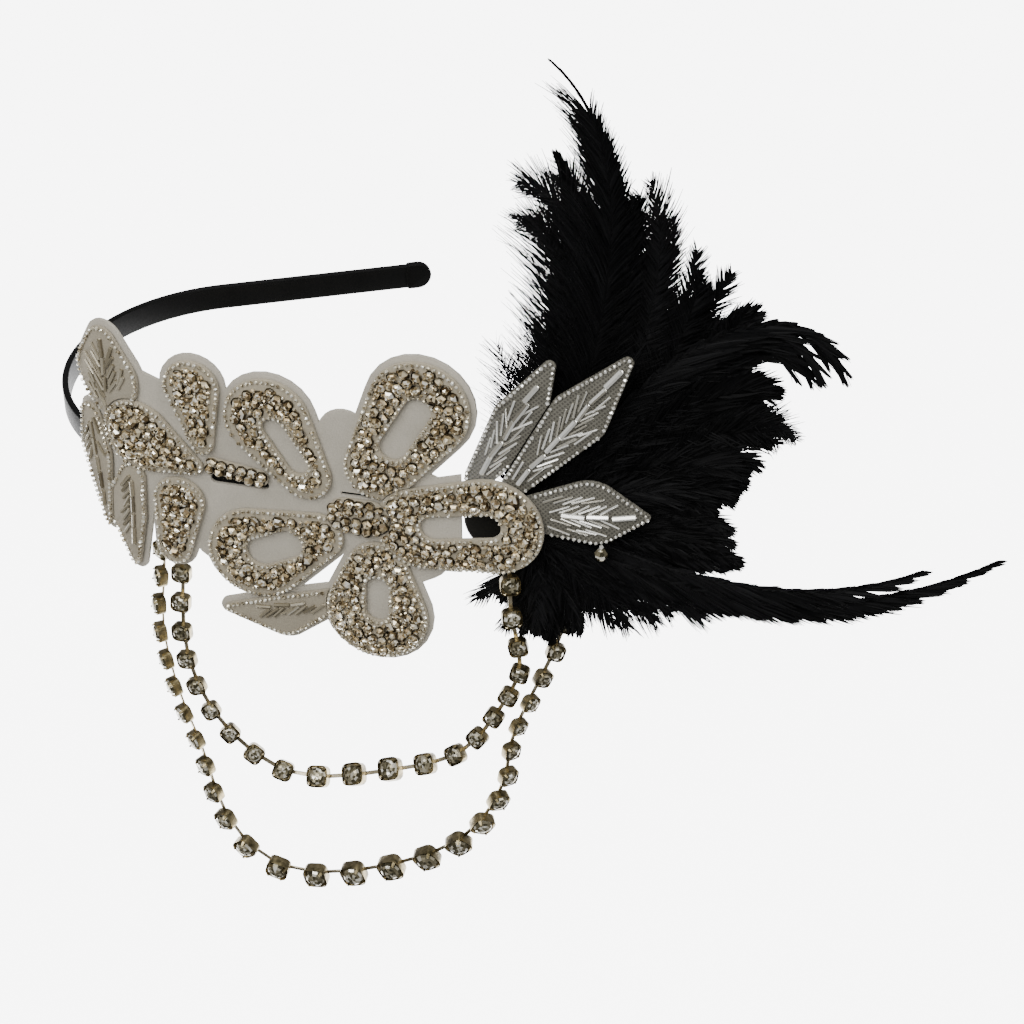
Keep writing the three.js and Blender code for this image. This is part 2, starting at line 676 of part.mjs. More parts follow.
/** One lock of the plume: a flattened spindle laid along a bowed line to its tip. */
function lockSolid(lock, root) {
  const half = (lock.width * lockWidth) / 2;
  const steps = lockStations.length;
  const profile = [[0, 0], ...lockStations.map((share, index) => [share, index / steps]), [0, 1]]
    .map(([x, y]) => new THREE.Vector2(x, y));
  const start = new THREE.Vector2(root.along, root.up);
  const run = new THREE.Vector2(lock.along, lock.up).multiplyScalar(plumeReach);
  const swing = new THREE.Vector2(-run.y, run.x).multiplyScalar(lock.bow);
  const middle = start.clone().addScaledVector(run, 0.5).add(swing);
  const spine = new THREE.QuadraticBezierCurve(start, middle, start.clone().add(run));
  const geometry = new THREE.LatheGeometry(profile, lockSides);
  const position = geometry.attributes.position;
  for (let at = 0; at < position.count; at += 1) {
    const share = position.getY(at);
    const spot = spine.getPoint(share);
    const heading = spine.getTangent(share);
    const across = -position.getX(at) * half;
    const out = root.out + lock.lean * plumeDepth * share ** lockDroop;
    position.setXYZ(at,
      spot.x - heading.y * across,
      spot.y + heading.x * across,
      out + position.getZ(at) * half * lockFlatness);
  }
  return solidOf(geometry);
}

/** The plume: every lock fused to the bound head behind the right petal. */
function plumeSolid() {
  const low = plumeHigh - plumeHeadDeep;
  const head = slab(patchCircles(flower, plumeHead), low, plumeHigh, holeSides);
  const root = { ...circleAt(flower, plumeRoot), out: (low + plumeHigh) / 2 - seat };
  return joined([head, ...plumeLocks.map((lock) => lockSolid(lock, root))]);
}

/** The loose bead under the lowest leaf, on its short thread. */
function dropBeadSolid() {
  const [, belly] = leafCircles(netLeaves.leaf_right_low);
  const edge = belly.up - belly.round - seat;
  const along = belly.along + dropBeadShift;
  const out = feltLow + leafThick / 2;
  const bead = new THREE.SphereGeometry(dropBeadWidth / 2, holeSides, cutSides);
  bead.translate(along, edge - dropBeadFall, out + wireWidth / 2);
  const thread = new THREE.CylinderGeometry(wireWidth / 2, wireWidth / 2, dropBeadFall, wireSides);
  thread.translate(along, edge - dropBeadFall / 2, out);
  return joined([solidOf(bead), solidOf(thread)]);
}

const headband = new THREE.Group();

function addPiece(name, solid, finish) {
  const mesh = new THREE.Mesh(bent(solid), new THREE.MeshStandardMaterial(finishes[finish]));
  mesh.name = name;
  headband.add(mesh);
}

addPiece('headband', headbandSolid(), 'satin');

const centreCircles = patchCircles(flower, centre);
const motifs = [centreCircles];
addPiece('centre_cluster', stoneField(centreCircles, 2, []), 'stones');
for (const [name, petal] of Object.entries(petals)) {
  addPiece(name, petalSolid(petal, motifs), 'stones');
  motifs.push(petalCircles(petal));
}
const stemCircles = patchCircles(buds, stem);
addPiece('stem_stones', stoneField(stemCircles, 3, motifs), 'stones');
motifs.push(stemCircles);
for (const [name, leaf] of Object.entries(feltLeaves)) {
  addPiece(name, leafSolid(leaf, padLow, motifs), 'bugles');
  motifs.push(leafCircles(leaf));
}
const felt = feltSolid(motifs);
addPiece('felt_backing', felt, 'felt');

const netMotifs = [];
for (const [name, leaf] of Object.entries(netLeaves)) {
  addPiece(name, leafSolid(leaf, feltLow, netMotifs, [petalCircles(petals.petal_right)]), 'net');
  netMotifs.push(leafCircles(leaf));
}
addPiece('drop_bead', dropBeadSolid(), 'stones');
for (const [name, route] of Object.entries(chainRoutes)) {
  addPiece(name, chainSolid(route), 'chain');
}
addPiece('feather_plume', plumeSolid(), 'feather');

export default headband;
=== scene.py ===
"""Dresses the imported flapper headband: a satin band, beaded felt flower and leaves,
two festoons of cup chain and a black plume, with a pale floor, soft lights and a camera.

Lengths are in millimetres on the band's flat layout: "along" runs on the band's outer
face from the middle of its crown, "up" is height and "out" is the distance from that
face. BandSurface bends the layout round the head and gives metres.
"""
import logging
import math
from dataclasses import dataclass, field, replace
from enum import Enum
from typing import Callable, Mapping, Sequence

import bmesh
import bpy
import numpy as np
from mathutils import Euler, Matrix, Vector, geometry


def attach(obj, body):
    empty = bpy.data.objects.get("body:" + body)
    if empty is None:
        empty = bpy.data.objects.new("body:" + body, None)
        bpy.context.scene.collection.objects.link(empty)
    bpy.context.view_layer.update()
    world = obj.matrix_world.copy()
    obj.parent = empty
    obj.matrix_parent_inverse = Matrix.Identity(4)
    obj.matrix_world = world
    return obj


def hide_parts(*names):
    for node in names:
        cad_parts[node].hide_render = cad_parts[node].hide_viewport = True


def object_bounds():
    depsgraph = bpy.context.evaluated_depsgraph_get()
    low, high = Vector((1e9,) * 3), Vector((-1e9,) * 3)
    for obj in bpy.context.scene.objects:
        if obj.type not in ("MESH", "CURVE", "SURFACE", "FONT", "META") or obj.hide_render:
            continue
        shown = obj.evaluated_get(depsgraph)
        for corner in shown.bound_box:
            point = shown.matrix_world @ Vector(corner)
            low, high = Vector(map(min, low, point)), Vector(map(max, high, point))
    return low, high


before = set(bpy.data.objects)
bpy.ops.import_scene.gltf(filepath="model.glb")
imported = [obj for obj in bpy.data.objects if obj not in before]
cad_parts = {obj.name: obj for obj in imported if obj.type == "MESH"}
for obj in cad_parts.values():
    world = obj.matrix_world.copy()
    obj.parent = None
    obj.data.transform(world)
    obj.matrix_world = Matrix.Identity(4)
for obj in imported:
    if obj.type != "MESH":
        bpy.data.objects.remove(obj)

LOG = logging.getLogger("headband")
MM = 0.001
BODY = "root"
cad_low, cad_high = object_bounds()

Colour = tuple[float, float, float]
Stops = tuple[tuple[float, Colour], ...]
Spot = tuple[float, float, float]
Share = tuple[float, float, float]
Rows = tuple[tuple[float, float], ...]


# Shader graphs


class Signal:
    """A shader socket whose Python operators add Math nodes to its graph."""

    def __init__(self, graph: "Graph", socket: bpy.types.NodeSocket) -> None:
        """Keeps the graph and the socket."""
        self.graph = graph
        self.socket = socket

    def _math(self, operation: str, first: "Operand", second: "Operand") -> "Signal":
        """Adds one Math node on two values."""
        return self.graph.add("ShaderNodeMath", {"operation": operation}, {0: first, 1: second})

    def __add__(self, other: "Operand") -> "Signal":
        """The sum of two values."""
        return self._math("ADD", self, other)

    def __rsub__(self, other: "Operand") -> "Signal":
        """The difference of a number and this value."""
        return self._math("SUBTRACT", other, self)

    def __mul__(self, other: "Operand") -> "Signal":
        """The product of two values."""
        return self._math("MULTIPLY", self, other)

    def at_most(self, other: "Operand") -> "Signal":
        """The smaller of two values."""
        return self._math("MINIMUM", self, other)


Operand = Signal | float | tuple


class Graph:
    """A material's node tree, with one method that adds any node."""

    def __init__(self, name: str) -> None:
        """Starts a material of this name with an empty tree."""
        self.material = bpy.data.materials.new(name)
        self.material.use_nodes = True
        self.tree = self.material.node_tree
        self.tree.nodes.clear()

    def add(
        self,
        kind: str,
        settings: Mapping[str, object] | None = None,
        inputs: Mapping[int | str, Operand] | None = None,
        output: int | str = 0,
    ) -> Signal:
        """Adds a node.

        Args:
            kind: The node's Blender type.
            settings: Its properties, set first; "stops" fills a colour ramp.
            inputs: Values or links for its sockets, by name or number.
            output: The output that the answer stands for.

        Returns:
            The chosen output as a signal.
        """
        node = self.tree.nodes.new(kind)
        for key, value in (settings or {}).items():
            if key == "stops":
                self._set_stops(node.color_ramp, value)
            else:
                setattr(node, key, value)
        for key, value in (inputs or {}).items():
            if isinstance(value, Signal):
                self.tree.links.new(value.socket, node.inputs[key])
            elif isinstance(value, tuple) and node.inputs[key].type == "RGBA":
                node.inputs[key].default_value = (*value, 1.0)
            else:
                node.inputs[key].default_value = value
        return Signal(self, node.outputs[output])

    @staticmethod
    def _set_stops(ramp: bpy.types.ColorRamp, stops: Stops) -> None:
        """Fills a colour ramp with its stops."""
        while len(ramp.elements) < len(stops):
            ramp.elements.new(1.0)
        for element, (position, colour) in zip(ramp.elements, stops):
            element.position = position
            element.color = (*colour, 1.0)

    def place(self) -> Signal:
        """The surface's place in Object coordinates, in metres."""
        return self.add("ShaderNodeTexCoord", output="Object")

    def noise(self, size_mm: float, detail: float = 2.0, stretch: Colour = (1.0, 1.0, 1.0)) -> Signal:
        """A noise from 0 to 1.

        Args:
            size_mm: The width of its larger spots.
            detail: How many finer layers it has.
            stretch: How much it is squeezed on each axis.

        Returns:
            The noise as a value.
        """
        mapping = {"Vector": self.place(), "Scale": stretch}
        where = self.add("ShaderNodeMapping", inputs=mapping, output="Vector")
        inputs = {"Vector": where, "Scale": 1.0 / (size_mm * MM), "Detail": detail}
        return self.add("ShaderNodeTexNoise", inputs=inputs, output=0)

    def ramp(self, value: Signal, stops: Stops) -> Signal:
        """A value turned into a colour by stops."""
        return self.add("ShaderNodeValToRGB", {"stops": stops}, {"Fac": value}, "Color")

    def shade(self, value: Signal, low: float, high: float) -> Signal:
        """A value from 0 to 1 spread between two levels."""
        return value * (high - low) + low

    def attribute(self, name: str) -> Signal:
        """A value that the mesh carries."""
        return self.add("ShaderNodeAttribute", {"attribute_name": name}, output="Fac")

    def mixed(self, factor: Operand, first: Operand, second: Operand) -> Signal:
        """Two colours mixed."""
        inputs = {0: factor, 6: first, 7: second}
        return self.add("ShaderNodeMix", {"data_type": "RGBA"}, inputs, output=2)

    def bump(self, height: Signal, deep_mm: float, strength: float) -> Signal:
        """A normal from a height."""
        inputs = {"Height": height, "Distance": deep_mm * MM, "Strength": strength}
        return self.add("ShaderNodeBump", inputs=inputs)

    def finish(self, **sockets: Operand) -> bpy.types.Material:
        """Ends the tree in a Principled shader.

        Args:
            **sockets: Its inputs, with underscores for spaces.

        Returns:
            The material.
        """
        inputs = {name.replace("_", " "): value for name, value in sockets.items()}
        shader = self.add("ShaderNodeBsdfPrincipled", inputs=inputs)
        output = self.tree.nodes.new("ShaderNodeOutputMaterial")
        self.tree.links.new(shader.socket, output.inputs["Surface"])
        return self.material


@dataclass(frozen=True)
class Finish:
    """A finish with a name of its own, built as a material once."""

    name: str

    def graph(self) -> Graph:
        """An empty node tree that bears this finish's name."""
        return Graph(self.name)

    def build(self) -> bpy.types.Material:
        """Builds the material; each kind of finish says how."""
        raise NotImplementedError

    def material(self) -> bpy.types.Material:
        """The finish's material, built the first time that it is asked for."""
        return bpy.data.materials.get(self.name) or self.build()


@dataclass(frozen=True)
class Satin(Finish):
    """Black satin ribbon: a fine weave, a dull sheen and faint creases, with painted shade in their hollows.
    """

    dark: Colour = (0.0018, 0.0018, 0.0018)
    light: Colour = (0.005, 0.005, 0.005)
    thread: float = 0.28

    def build(self) -> bpy.types.Material:
        """Builds the satin."""
        graph = self.graph()
        weave = graph.noise(self.thread, 1.0, (1.0, 1.0, 0.25))
        creases = graph.noise(9.0, 3.0, (1.0, 1.0, 0.35))
        height = weave * 0.5 + creases
        return graph.finish(
            # Painted shade and highlight: the colour follows the crease relief, darker in its hollows and
            # lighter on its ridges.
            Base_Color=graph.mixed(creases, self.dark, self.light),
            Roughness=graph.shade(weave, 0.42, 0.62),
            Specular_IOR_Level=0.12,
            Sheen_Weight=0.01,
            Sheen_Roughness=0.4,
            Normal=graph.bump(height, 0.12, 0.5),
        )


@dataclass(frozen=True)
class Felt(Finish):
    """Felt: short pressed fibres in two shades with a soft, pitted surface."""

    dark: Colour = (0.38, 0.35, 0.29)
    light: Colour = (0.53, 0.495, 0.415)
    fibre: float = 0.35

    def build(self) -> bpy.types.Material:
        """Builds the felt."""
        graph = self.graph()
        fibres = graph.noise(self.fibre, 3.0, (1.0, 1.0, 0.4))
        crossed = graph.noise(self.fibre, 3.0, (0.4, 0.4, 1.0))
        clouds = graph.noise(12.0, 2.0)
        mottle = fibres * 0.35 + crossed * 0.35 + clouds * 0.3
        return graph.finish(
            Base_Color=graph.mixed(graph.shade(mottle, -0.6, 1.6), self.dark, self.light),
            Roughness=0.95,
            Specular_IOR_Level=0.2,
            Sheen_Weight=0.2,
            Normal=graph.bump(fibres + crossed, 0.18, 0.7),
        )


@dataclass(frozen=True)
class PaintedGlints(Finish):
    """Small glass or metal pieces with each facet painted lighter or darker: painted glints and painted shade.
    """

    stops: Stops = ((0.0, (0.1, 0.1, 0.1)), (1.0, (1.0, 1.0, 1.0)))
    metallic: float = 0.7
    dull: float = 0.28
    bright: float = 0.1
    stain: float = 5.0

    def build(self) -> bpy.types.Material:
        """Builds the finish with its painted glints."""
        graph = self.graph()
        glint = graph.attribute("glint")
        stains = graph.noise(self.stain, 2.0)
        fine = graph.noise(0.6, 2.0)
        # Painted glints and shade: each facet's value picks a dark, middle or near-white stop; stains and fine
        # noise add a little random tone.
        level = glint * 0.86 + stains * 0.08 + fine * 0.06
        return graph.finish(
            Base_Color=graph.ramp(level, self.stops),
            Roughness=graph.shade(stains, self.bright, self.dull),
            Metallic=self.metallic,
            Normal=graph.bump(fine, 0.03, 0.3),
        )


@dataclass(frozen=True)
class AgedMetal(Finish):
    """Plated metal with stains in its hollows and small scratches."""

    clean: Colour = (0.52, 0.43, 0.24)
    stained: Colour = (0.09, 0.074, 0.037)
    rough: float = 0.26

    def build(self) -> bpy.types.Material:
        """Builds the metal."""
        graph = self.graph()
        stains = graph.noise(2.6, 4.0)
        glint = graph.attribute("glint")
        scratches = graph.noise(0.5, 3.0, (1.0, 1.0, 0.15))
        amount = graph.shade(stains, -0.7, 1.6) + glint * 0.3
        return graph.finish(
            Base_Color=graph.mixed(amount, self.clean, self.stained),
            Roughness=graph.shade(stains, self.rough, self.rough + 0.2),
            Metallic=1.0,
            Normal=graph.bump(scratches, 0.03, 0.4),
        )


@dataclass(frozen=True)
class Net(Finish):
    """Fine grey net: two sets of threads with holes that let part of the light through."""

    dark: Colour = (0.06, 0.056, 0.045)
    light: Colour = (0.18, 0.17, 0.14)
    mesh: float = 0.6
    slant: float = 0.785
    see_through: float = 0.4

    def build(self) -> bpy.types.Material:
        """Builds the net."""
        graph = self.graph()
        weave = self._threads(graph, self.slant).at_most(self._threads(graph, -self.slant))
        clouds = graph.noise(7.0, 3.0)
        return graph.finish(
            Base_Color=graph.mixed(weave * 0.5 + clouds * 0.5, self.light, self.dark),
            Roughness=0.5,
            Specular_IOR_Level=0.4,
            Alpha=1.0 - weave * self.see_through,
            Normal=graph.bump(weave, 0.12, 0.5),
        )

    def _threads(self, graph: Graph, turn: float) -> Signal:
        """One set of threads, turned by an angle in radians."""
        inputs = {"Vector": graph.place(), "Rotation": (0.0, turn, 0.0)}
        where = graph.add("ShaderNodeMapping", inputs=inputs, output="Vector")
        inputs = {"Vector": where, "Scale": 1.0 / (self.mesh * MM) / math.tau}
        return graph.add("ShaderNodeTexWave", inputs=inputs, output="Fac")


@dataclass(frozen=True)
class Feather(Finish):
    """Black feather barbs: nearly black, slightly paler on some feathers."""

    dark: Colour = (0.0008, 0.0008, 0.0009)
    light: Colour = (0.009, 0.009, 0.0095)

    def build(self) -> bpy.types.Material:
        """Builds the feather finish."""
        graph = self.graph()
        streaks = graph.noise(1.2, 2.0)
        amount = graph.attribute("glint") * 0.7 + streaks * 0.3
        return graph.finish(
            Base_Color=graph.mixed(amount, self.dark, self.light),
            Roughness=graph.shade(streaks, 0.5, 0.75),
            Specular_IOR_Level=0.07,
            Normal=graph.bump(streaks, 0.05, 0.3),
        )


@dataclass(frozen=True)
class Paper(Finish):
    """The studio's pale, even floor, which glows."""

    dark: Colour = (0.86, 0.86, 0.86)
    light: Colour = (0.9, 0.9, 0.9)
    glow: float = 8.0

    def build(self) -> bpy.types.Material:
        """Builds the floor."""
        graph = self.graph()
        colour = graph.mixed(graph.noise(400.0, 2.0), self.dark, self.light)
        return graph.finish(
            Base_Color=colour,
            Roughness=0.9,
            Specular_IOR_Level=0.1,
            Emission_Color=colour,
            Emission_Strength=self.glow,
        )


# Ramps for the glass pieces: the middle stops are their own colour; the darkest and the near-white stops,
# picked facet by facet, are painted shade and painted glints.
STONE_STOPS: Stops = (
    (0.0, (0.022, 0.013, 0.005)),
    (0.24, (0.12, 0.08, 0.036)),
    (0.46, (0.42, 0.325, 0.18)),
    (0.66, (0.86, 0.75, 0.52)),
    (0.8, (1.0, 0.97, 0.86)),
)
BEAD_STOPS: Stops = (
    (0.0, (0.04, 0.027, 0.012)),
    (0.3, (0.24, 0.19, 0.11)),
    (0.5, (0.8, 0.72, 0.53)),
    (0.7, (1.0, 0.99, 0.9)),
)
BUGLE_STOPS: Stops = (
    (0.0, (0.085, 0.068, 0.04)),
    (0.4, (0.3, 0.26, 0.18)),
    (0.75, (0.52, 0.47, 0.36)),
    (1.0, (0.85, 0.8, 0.68)),
)
SILVER_STOPS: Stops = (
    (0.0, (0.12, 0.11, 0.088)),
    (0.28, (0.5, 0.47, 0.39)),
    (0.5, (1.0, 0.99, 0.93)),
)
SMOKE_STOPS: Stops = (
    (0.0, (0.012, 0.01, 0.005)),
    (0.36, (0.085, 0.073, 0.038)),
    (0.64, (0.34, 0.3, 0.2)),
    (0.86, (0.98, 0.95, 0.83)),
)


class Finishes(Enum):
    """Every finish on the headband."""

    SATIN = Satin("black_satin")
    WRAP = Satin("satin_wrap", dark=(0.0015, 0.0015, 0.0015), light=(0.004, 0.004, 0.004), thread=0.2)
    FELT = Felt("pale_felt")
    PAD = Felt("warm_felt", dark=(0.3, 0.262, 0.192), light=(0.45, 0.4, 0.3), fibre=0.3)
    LEAF = Felt("beige_felt", dark=(0.26, 0.228, 0.168), light=(0.42, 0.375, 0.285), fibre=0.3)
    NET = Net("grey_net")
    STONES = PaintedGlints("champagne_stones", stops=STONE_STOPS, metallic=0.6)
    BEADS = PaintedGlints("silver_lined_beads", stops=BEAD_STOPS, metallic=0.55, bright=0.15)
    BUGLES = PaintedGlints("beige_bugles", stops=BUGLE_STOPS, metallic=0.4, bright=0.16, dull=0.34)
    SILVER = PaintedGlints("silver_bugles", stops=SILVER_STOPS, metallic=0.6, bright=0.12)
    SMOKE = PaintedGlints("smoky_stones", stops=SMOKE_STOPS, metallic=0.5, bright=0.05, dull=0.16)
    BRASS = AgedMetal("aged_brass")
    # Settings: dark partly as aged metal and partly as painted shadow in the gaps between the stones.
    SETTING = AgedMetal("setting_with_painted_shadow", clean=(0.2, 0.165, 0.105), stained=(0.03, 0.023, 0.014), rough=0.35)
    STEEL = AgedMetal("link_strip", clean=(0.66, 0.58, 0.42), stained=(0.2, 0.17, 0.1), rough=0.2)
    FEATHERS = Feather("black_feather")
    FLOOR = Paper("studio_paper")


# Shapes


@dataclass(frozen=True)
class BandSurface:
    """The bent outer face of the band, which carries everything else."""

    crown_radius: float = 67.5
    leg_splay: float = 14.0

    @property
    def turn_end(self) -> float:
        """The angle at which the round crown ends and a straight leg starts."""
        return math.radians(90.0 - self.leg_splay)

    @property
    def crown_half(self) -> float:
        """Half the crown's length."""
        return self.crown_radius * self.turn_end

    def bend(self, flat: np.ndarray) -> np.ndarray:
        """Bends flat points.

        Args:
            flat: Rows of along, up and out, in millimetres.

        Returns:
            Rows of x, y and z, in metres.
        """
        along, up, out = flat.T
        run = np.abs(along)
        turn = np.minimum(run / self.crown_radius, self.turn_end)
        straight = np.maximum(run - self.crown_half, 0.0)
        reach = self.crown_radius + out
        x = straight * np.sin(turn) - reach * np.cos(turn)
        y = reach * np.sin(turn) + straight * np.cos(turn)
        return np.stack([x, np.where(along < 0, y, -y), up], axis=1) * MM


SURFACE = BandSurface()


@dataclass(frozen=True)
class Circle:
    """A circle on the flat layout."""

    along: float
    up: float
    round: float

    def grown(self, by: float) -> "Circle":
        """The same circle, wider or narrower all round."""
        return replace(self, round=max(self.round + by, 0.2))


@dataclass(frozen=True)
class Hub:
    """A motif's middle and reach, which the shares in its rows are of."""

    along: float
    up: float
    reach: float

    def circle(self, along: float, up: float, round: float) -> Circle:
        """A circle from shares of the reach."""
        return Circle(self.along + along * self.reach, self.up + up * self.reach, round * self.reach)


FLOWER = Hub(154.4, -5.5, 46.0)
BUDS = Hub(96.4, 3.5, 32.0)


@dataclass(frozen=True)
class Outline:
    """The line that a band stretched round some circles would take."""

    circles: tuple[Circle, ...]

    def grown(self, by: float) -> "Outline":
        """The outline moved outwards, or inwards where negative."""
        return Outline(tuple(circle.grown(by) for circle in self.circles))

    def corners(self, sides: int = 40) -> np.ndarray:
        """The outline's corners, anticlockwise."""
        angles = np.arange(sides) * math.tau / sides
        points = [
            Vector((c.along + c.round * math.cos(a), c.up + c.round * math.sin(a)))
            for c in self.circles
            for a in angles
        ]
        ring = np.array([points[index] for index in geometry.convex_hull_2d(points)])
        ahead = np.roll(ring, -1, axis=0)
        area = np.sum(ring[:, 0] * ahead[:, 1] - ring[:, 1] * ahead[:, 0])
        return ring if area > 0 else ring[::-1]

    def holds(self, points: np.ndarray, margin: float = 0.0) -> np.ndarray:
        """Which points lie inside, at least a margin from the edge.

        Args:
            points: Rows of along and up.
            margin: The least distance from the edge.

        Returns:
            A truth value for each point.
        """
        ring = self.corners()
        edge = np.roll(ring, -1, axis=0) - ring
        edge /= np.linalg.norm(edge, axis=1)[:, None]
        apart = points[:, None, :] - ring[None]
        depth = edge[None, :, 0] * apart[..., 1] - edge[None, :, 1] * apart[..., 0]
        return (depth >= margin).all(axis=1)

    def points_round(self, pitch: float) -> tuple[np.ndarray, np.ndarray]:
        """Points spaced evenly on the outline.

        Args:
            pitch: The distance between them, about.

        Returns:
            The points, and the heading of the line at each.
        """
        ring = self.corners()
        closed = np.vstack([ring, ring[:1]])
        steps = np.linalg.norm(np.diff(closed, axis=0), axis=1)
        walked = np.concatenate([[0.0], np.cumsum(steps)])
        count = max(3, int(walked[-1] / pitch))
        wanted = np.arange(count) * walked[-1] / count
        spots = np.stack([np.interp(wanted, walked, closed[:, axis]) for axis in (0, 1)], axis=1)
        beyond = np.roll(spots, -1, axis=0) - np.roll(spots, 1, axis=0)
        return spots, np.arctan2(beyond[:, 1], beyond[:, 0])


@dataclass
class Form:
    """A mesh as arrays: points, the corners of all faces in one row, and their counts."""

    points: np.ndarray
    corners: np.ndarray
    counts: np.ndarray
    glint: np.ndarray

    @staticmethod
    def of(shape: bmesh.types.BMesh) -> "Form":
        """The arrays of a bmesh, which is freed."""
        shape.verts.index_update()
        points = np.array([vert.co for vert in shape.verts]).reshape(-1, 3)
        corners = np.array([vert.index for face in shape.faces for vert in face.verts], int)
        counts = np.array([len(face.verts) for face in shape.faces], int)
        shape.free()
        return Form(points, corners, counts, np.full(len(counts), 0.5))

    @staticmethod
    def joined(forms: Sequence["Form"]) -> "Form":
        """Several forms as one."""
        starts = np.cumsum([0] + [len(form.points) for form in forms[:-1]])
        return Form(
            np.vstack([form.points for form in forms]),
            np.concatenate([form.corners + start for form, start in zip(forms, starts)]),
            np.concatenate([form.counts for form in forms]),
            np.concatenate([form.glint for form in forms]),
        )

    def repeated(
        self,
        places: np.ndarray,
        turns: np.ndarray,
        sizes: np.ndarray,
        glints: Callable[[int, int], np.ndarray],
    ) -> "Form":
        """Copies of this form.

        Args:
            places: Where each copy's middle goes.
            turns: A turning matrix for each copy.
            sizes: The size of each copy on its three axes.
            glints: Makes the face values from the numbers of copies and faces.

        Returns:
            All the copies as one form.
        """
        many = len(places)
        scaled = self.points[None] * sizes[:, None, :]
        points = np.einsum("nij,nvj->nvi", turns, scaled) + places[:, None, :]
        starts = np.arange(many)[:, None] * len(self.points)
        return Form(
            points.reshape(-1, 3),
            (self.corners[None] + starts).reshape(-1),
            np.tile(self.counts, many),
            glints(many, len(self.counts)).reshape(-1),
        )


class Shading(Enum):
    """How a piece's faces are shaded."""

    FLAT = "flat"
    ROUNDED = "rounded"


@dataclass(frozen=True)
class Piece:
    """What a shown piece is called and what it stands for."""

    name: str
    finish: Finishes
    slot: str
    replaces: tuple[str, ...] = ()
    shading: Shading = Shading.FLAT
    crease: float = 38.0

    def show(self, form: Form) -> bpy.types.Object:
        """Makes the piece's object.

        Args:
            form: Its shape on the flat layout, which is bent here.

        Returns:
            The object, riding on its body.
        """
        points = SURFACE.bend(form.points)
        mesh = bpy.data.meshes.new(self.name)
        mesh.vertices.add(len(points))
        mesh.vertices.foreach_set("co", points.astype(np.float32).ravel())
        mesh.loops.add(len(form.corners))
        mesh.loops.foreach_set("vertex_index", form.corners.astype(np.int32))
        mesh.polygons.add(len(form.counts))
        starts = np.cumsum(form.counts) - form.counts
        mesh.polygons.foreach_set("loop_start", starts.astype(np.int32))
        mesh.update(calc_edges=True)
        # Per-face values: painted glints and painted shade on glass pieces, stain on metal, tone on feathers.
        value = mesh.attributes.new("glint", "FLOAT", "FACE")
        value.data.foreach_set("value", form.glint.astype(np.float32))
        mesh.materials.append(self.finish.value.material())
        if self.shading is Shading.FLAT:
            mesh.shade_flat()
        else:
            mesh.shade_smooth()
            mesh.set_sharp_from_angle(angle=math.radians(self.crease))
        shown = bpy.data.objects.new(self.name, mesh)
        bpy.context.scene.collection.objects.link(shown)
        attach(shown, BODY)
        if self.replaces:
            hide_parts(*self.replaces)
        LOG.info("%s: %d triangles", self.name, int(np.sum(form.counts - 2)))
        return shown


def turned(profile: Rows, steps: int) -> bmesh.types.BMesh:
    """Spins a profile round the upright axis.

    Args:
        profile: Rows of distance from the axis and height.
        steps: The number of sides.

    Returns:
        The closed shape.
    """
    shape = bmesh.new()
    verts = [shape.verts.new((distance, 0.0, height)) for distance, height in profile]
    edges = [shape.edges.new(pair) for pair in zip(verts, verts[1:])]
    bmesh.ops.spin(
        shape, geom=verts + edges, cent=(0, 0, 0), axis=(0, 0, 1), angle=math.tau, steps=steps,
        use_merge=True,
    )
    bmesh.ops.remove_doubles(shape, verts=shape.verts, dist=1e-5)
    bmesh.ops.recalc_face_normals(shape, faces=shape.faces)
    return shape


def slab(outline: Outline, low: float, high: float, sides: int = 40) -> bmesh.types.BMesh:
    """An outline made solid between two heights.

    Args:
        outline: Its edge.
        low: The height of its underside.
        high: The height of its top.
        sides: The sides of its round parts.

    Returns:
        The closed slab.
    """
    shape = bmesh.new()
    ring = [shape.verts.new((x, y, low)) for x, y in outline.corners(sides)]
    base = shape.faces.new(ring)
    made = bmesh.ops.extrude_face_region(shape, geom=[base])["geom"]
    lifted = [item for item in made if isinstance(item, bmesh.types.BMVert)]
    bmesh.ops.translate(shape, verts=lifted, vec=(0.0, 0.0, high - low))
    bmesh.ops.recalc_face_normals(shape, faces=shape.faces)
    return shape


def loose_object(shape: bmesh.types.BMesh) -> bpy.types.Object:
    """A bmesh as an object for a short while; the bmesh is freed."""
    mesh = bpy.data.meshes.new("loose")
    shape.to_mesh(mesh)
    shape.free()
    made = bpy.data.objects.new("loose", mesh)
    bpy.context.scene.collection.objects.link(made)
    return made


def combined(
    base: bmesh.types.BMesh, others: Sequence[bmesh.types.BMesh], operation: str
) -> bmesh.types.BMesh:
    """Joins other closed shapes to one, or cuts them out of it.

    Args:
        base: The shape that is kept.
        others: The shapes that are added or taken away.
        operation: UNION or DIFFERENCE.

    Returns:
        The new closed shape.
    """
    body = loose_object(base)
    tools = [loose_object(other) for other in others]
    for tool in tools:
        step = body.modifiers.new("step", "BOOLEAN")
        step.operation = operation
        step.solver = "MANIFOLD"
        step.object = tool
    bpy.context.view_layer.update()
    evaluated = body.evaluated_get(bpy.context.evaluated_depsgraph_get())
    shape = bmesh.new()
    shape.from_mesh(evaluated.to_mesh())
    evaluated.to_mesh_clear()
    for item in [body, *tools]:
        mesh = item.data
        bpy.data.objects.remove(item)
        bpy.data.meshes.remove(mesh)
    return shape


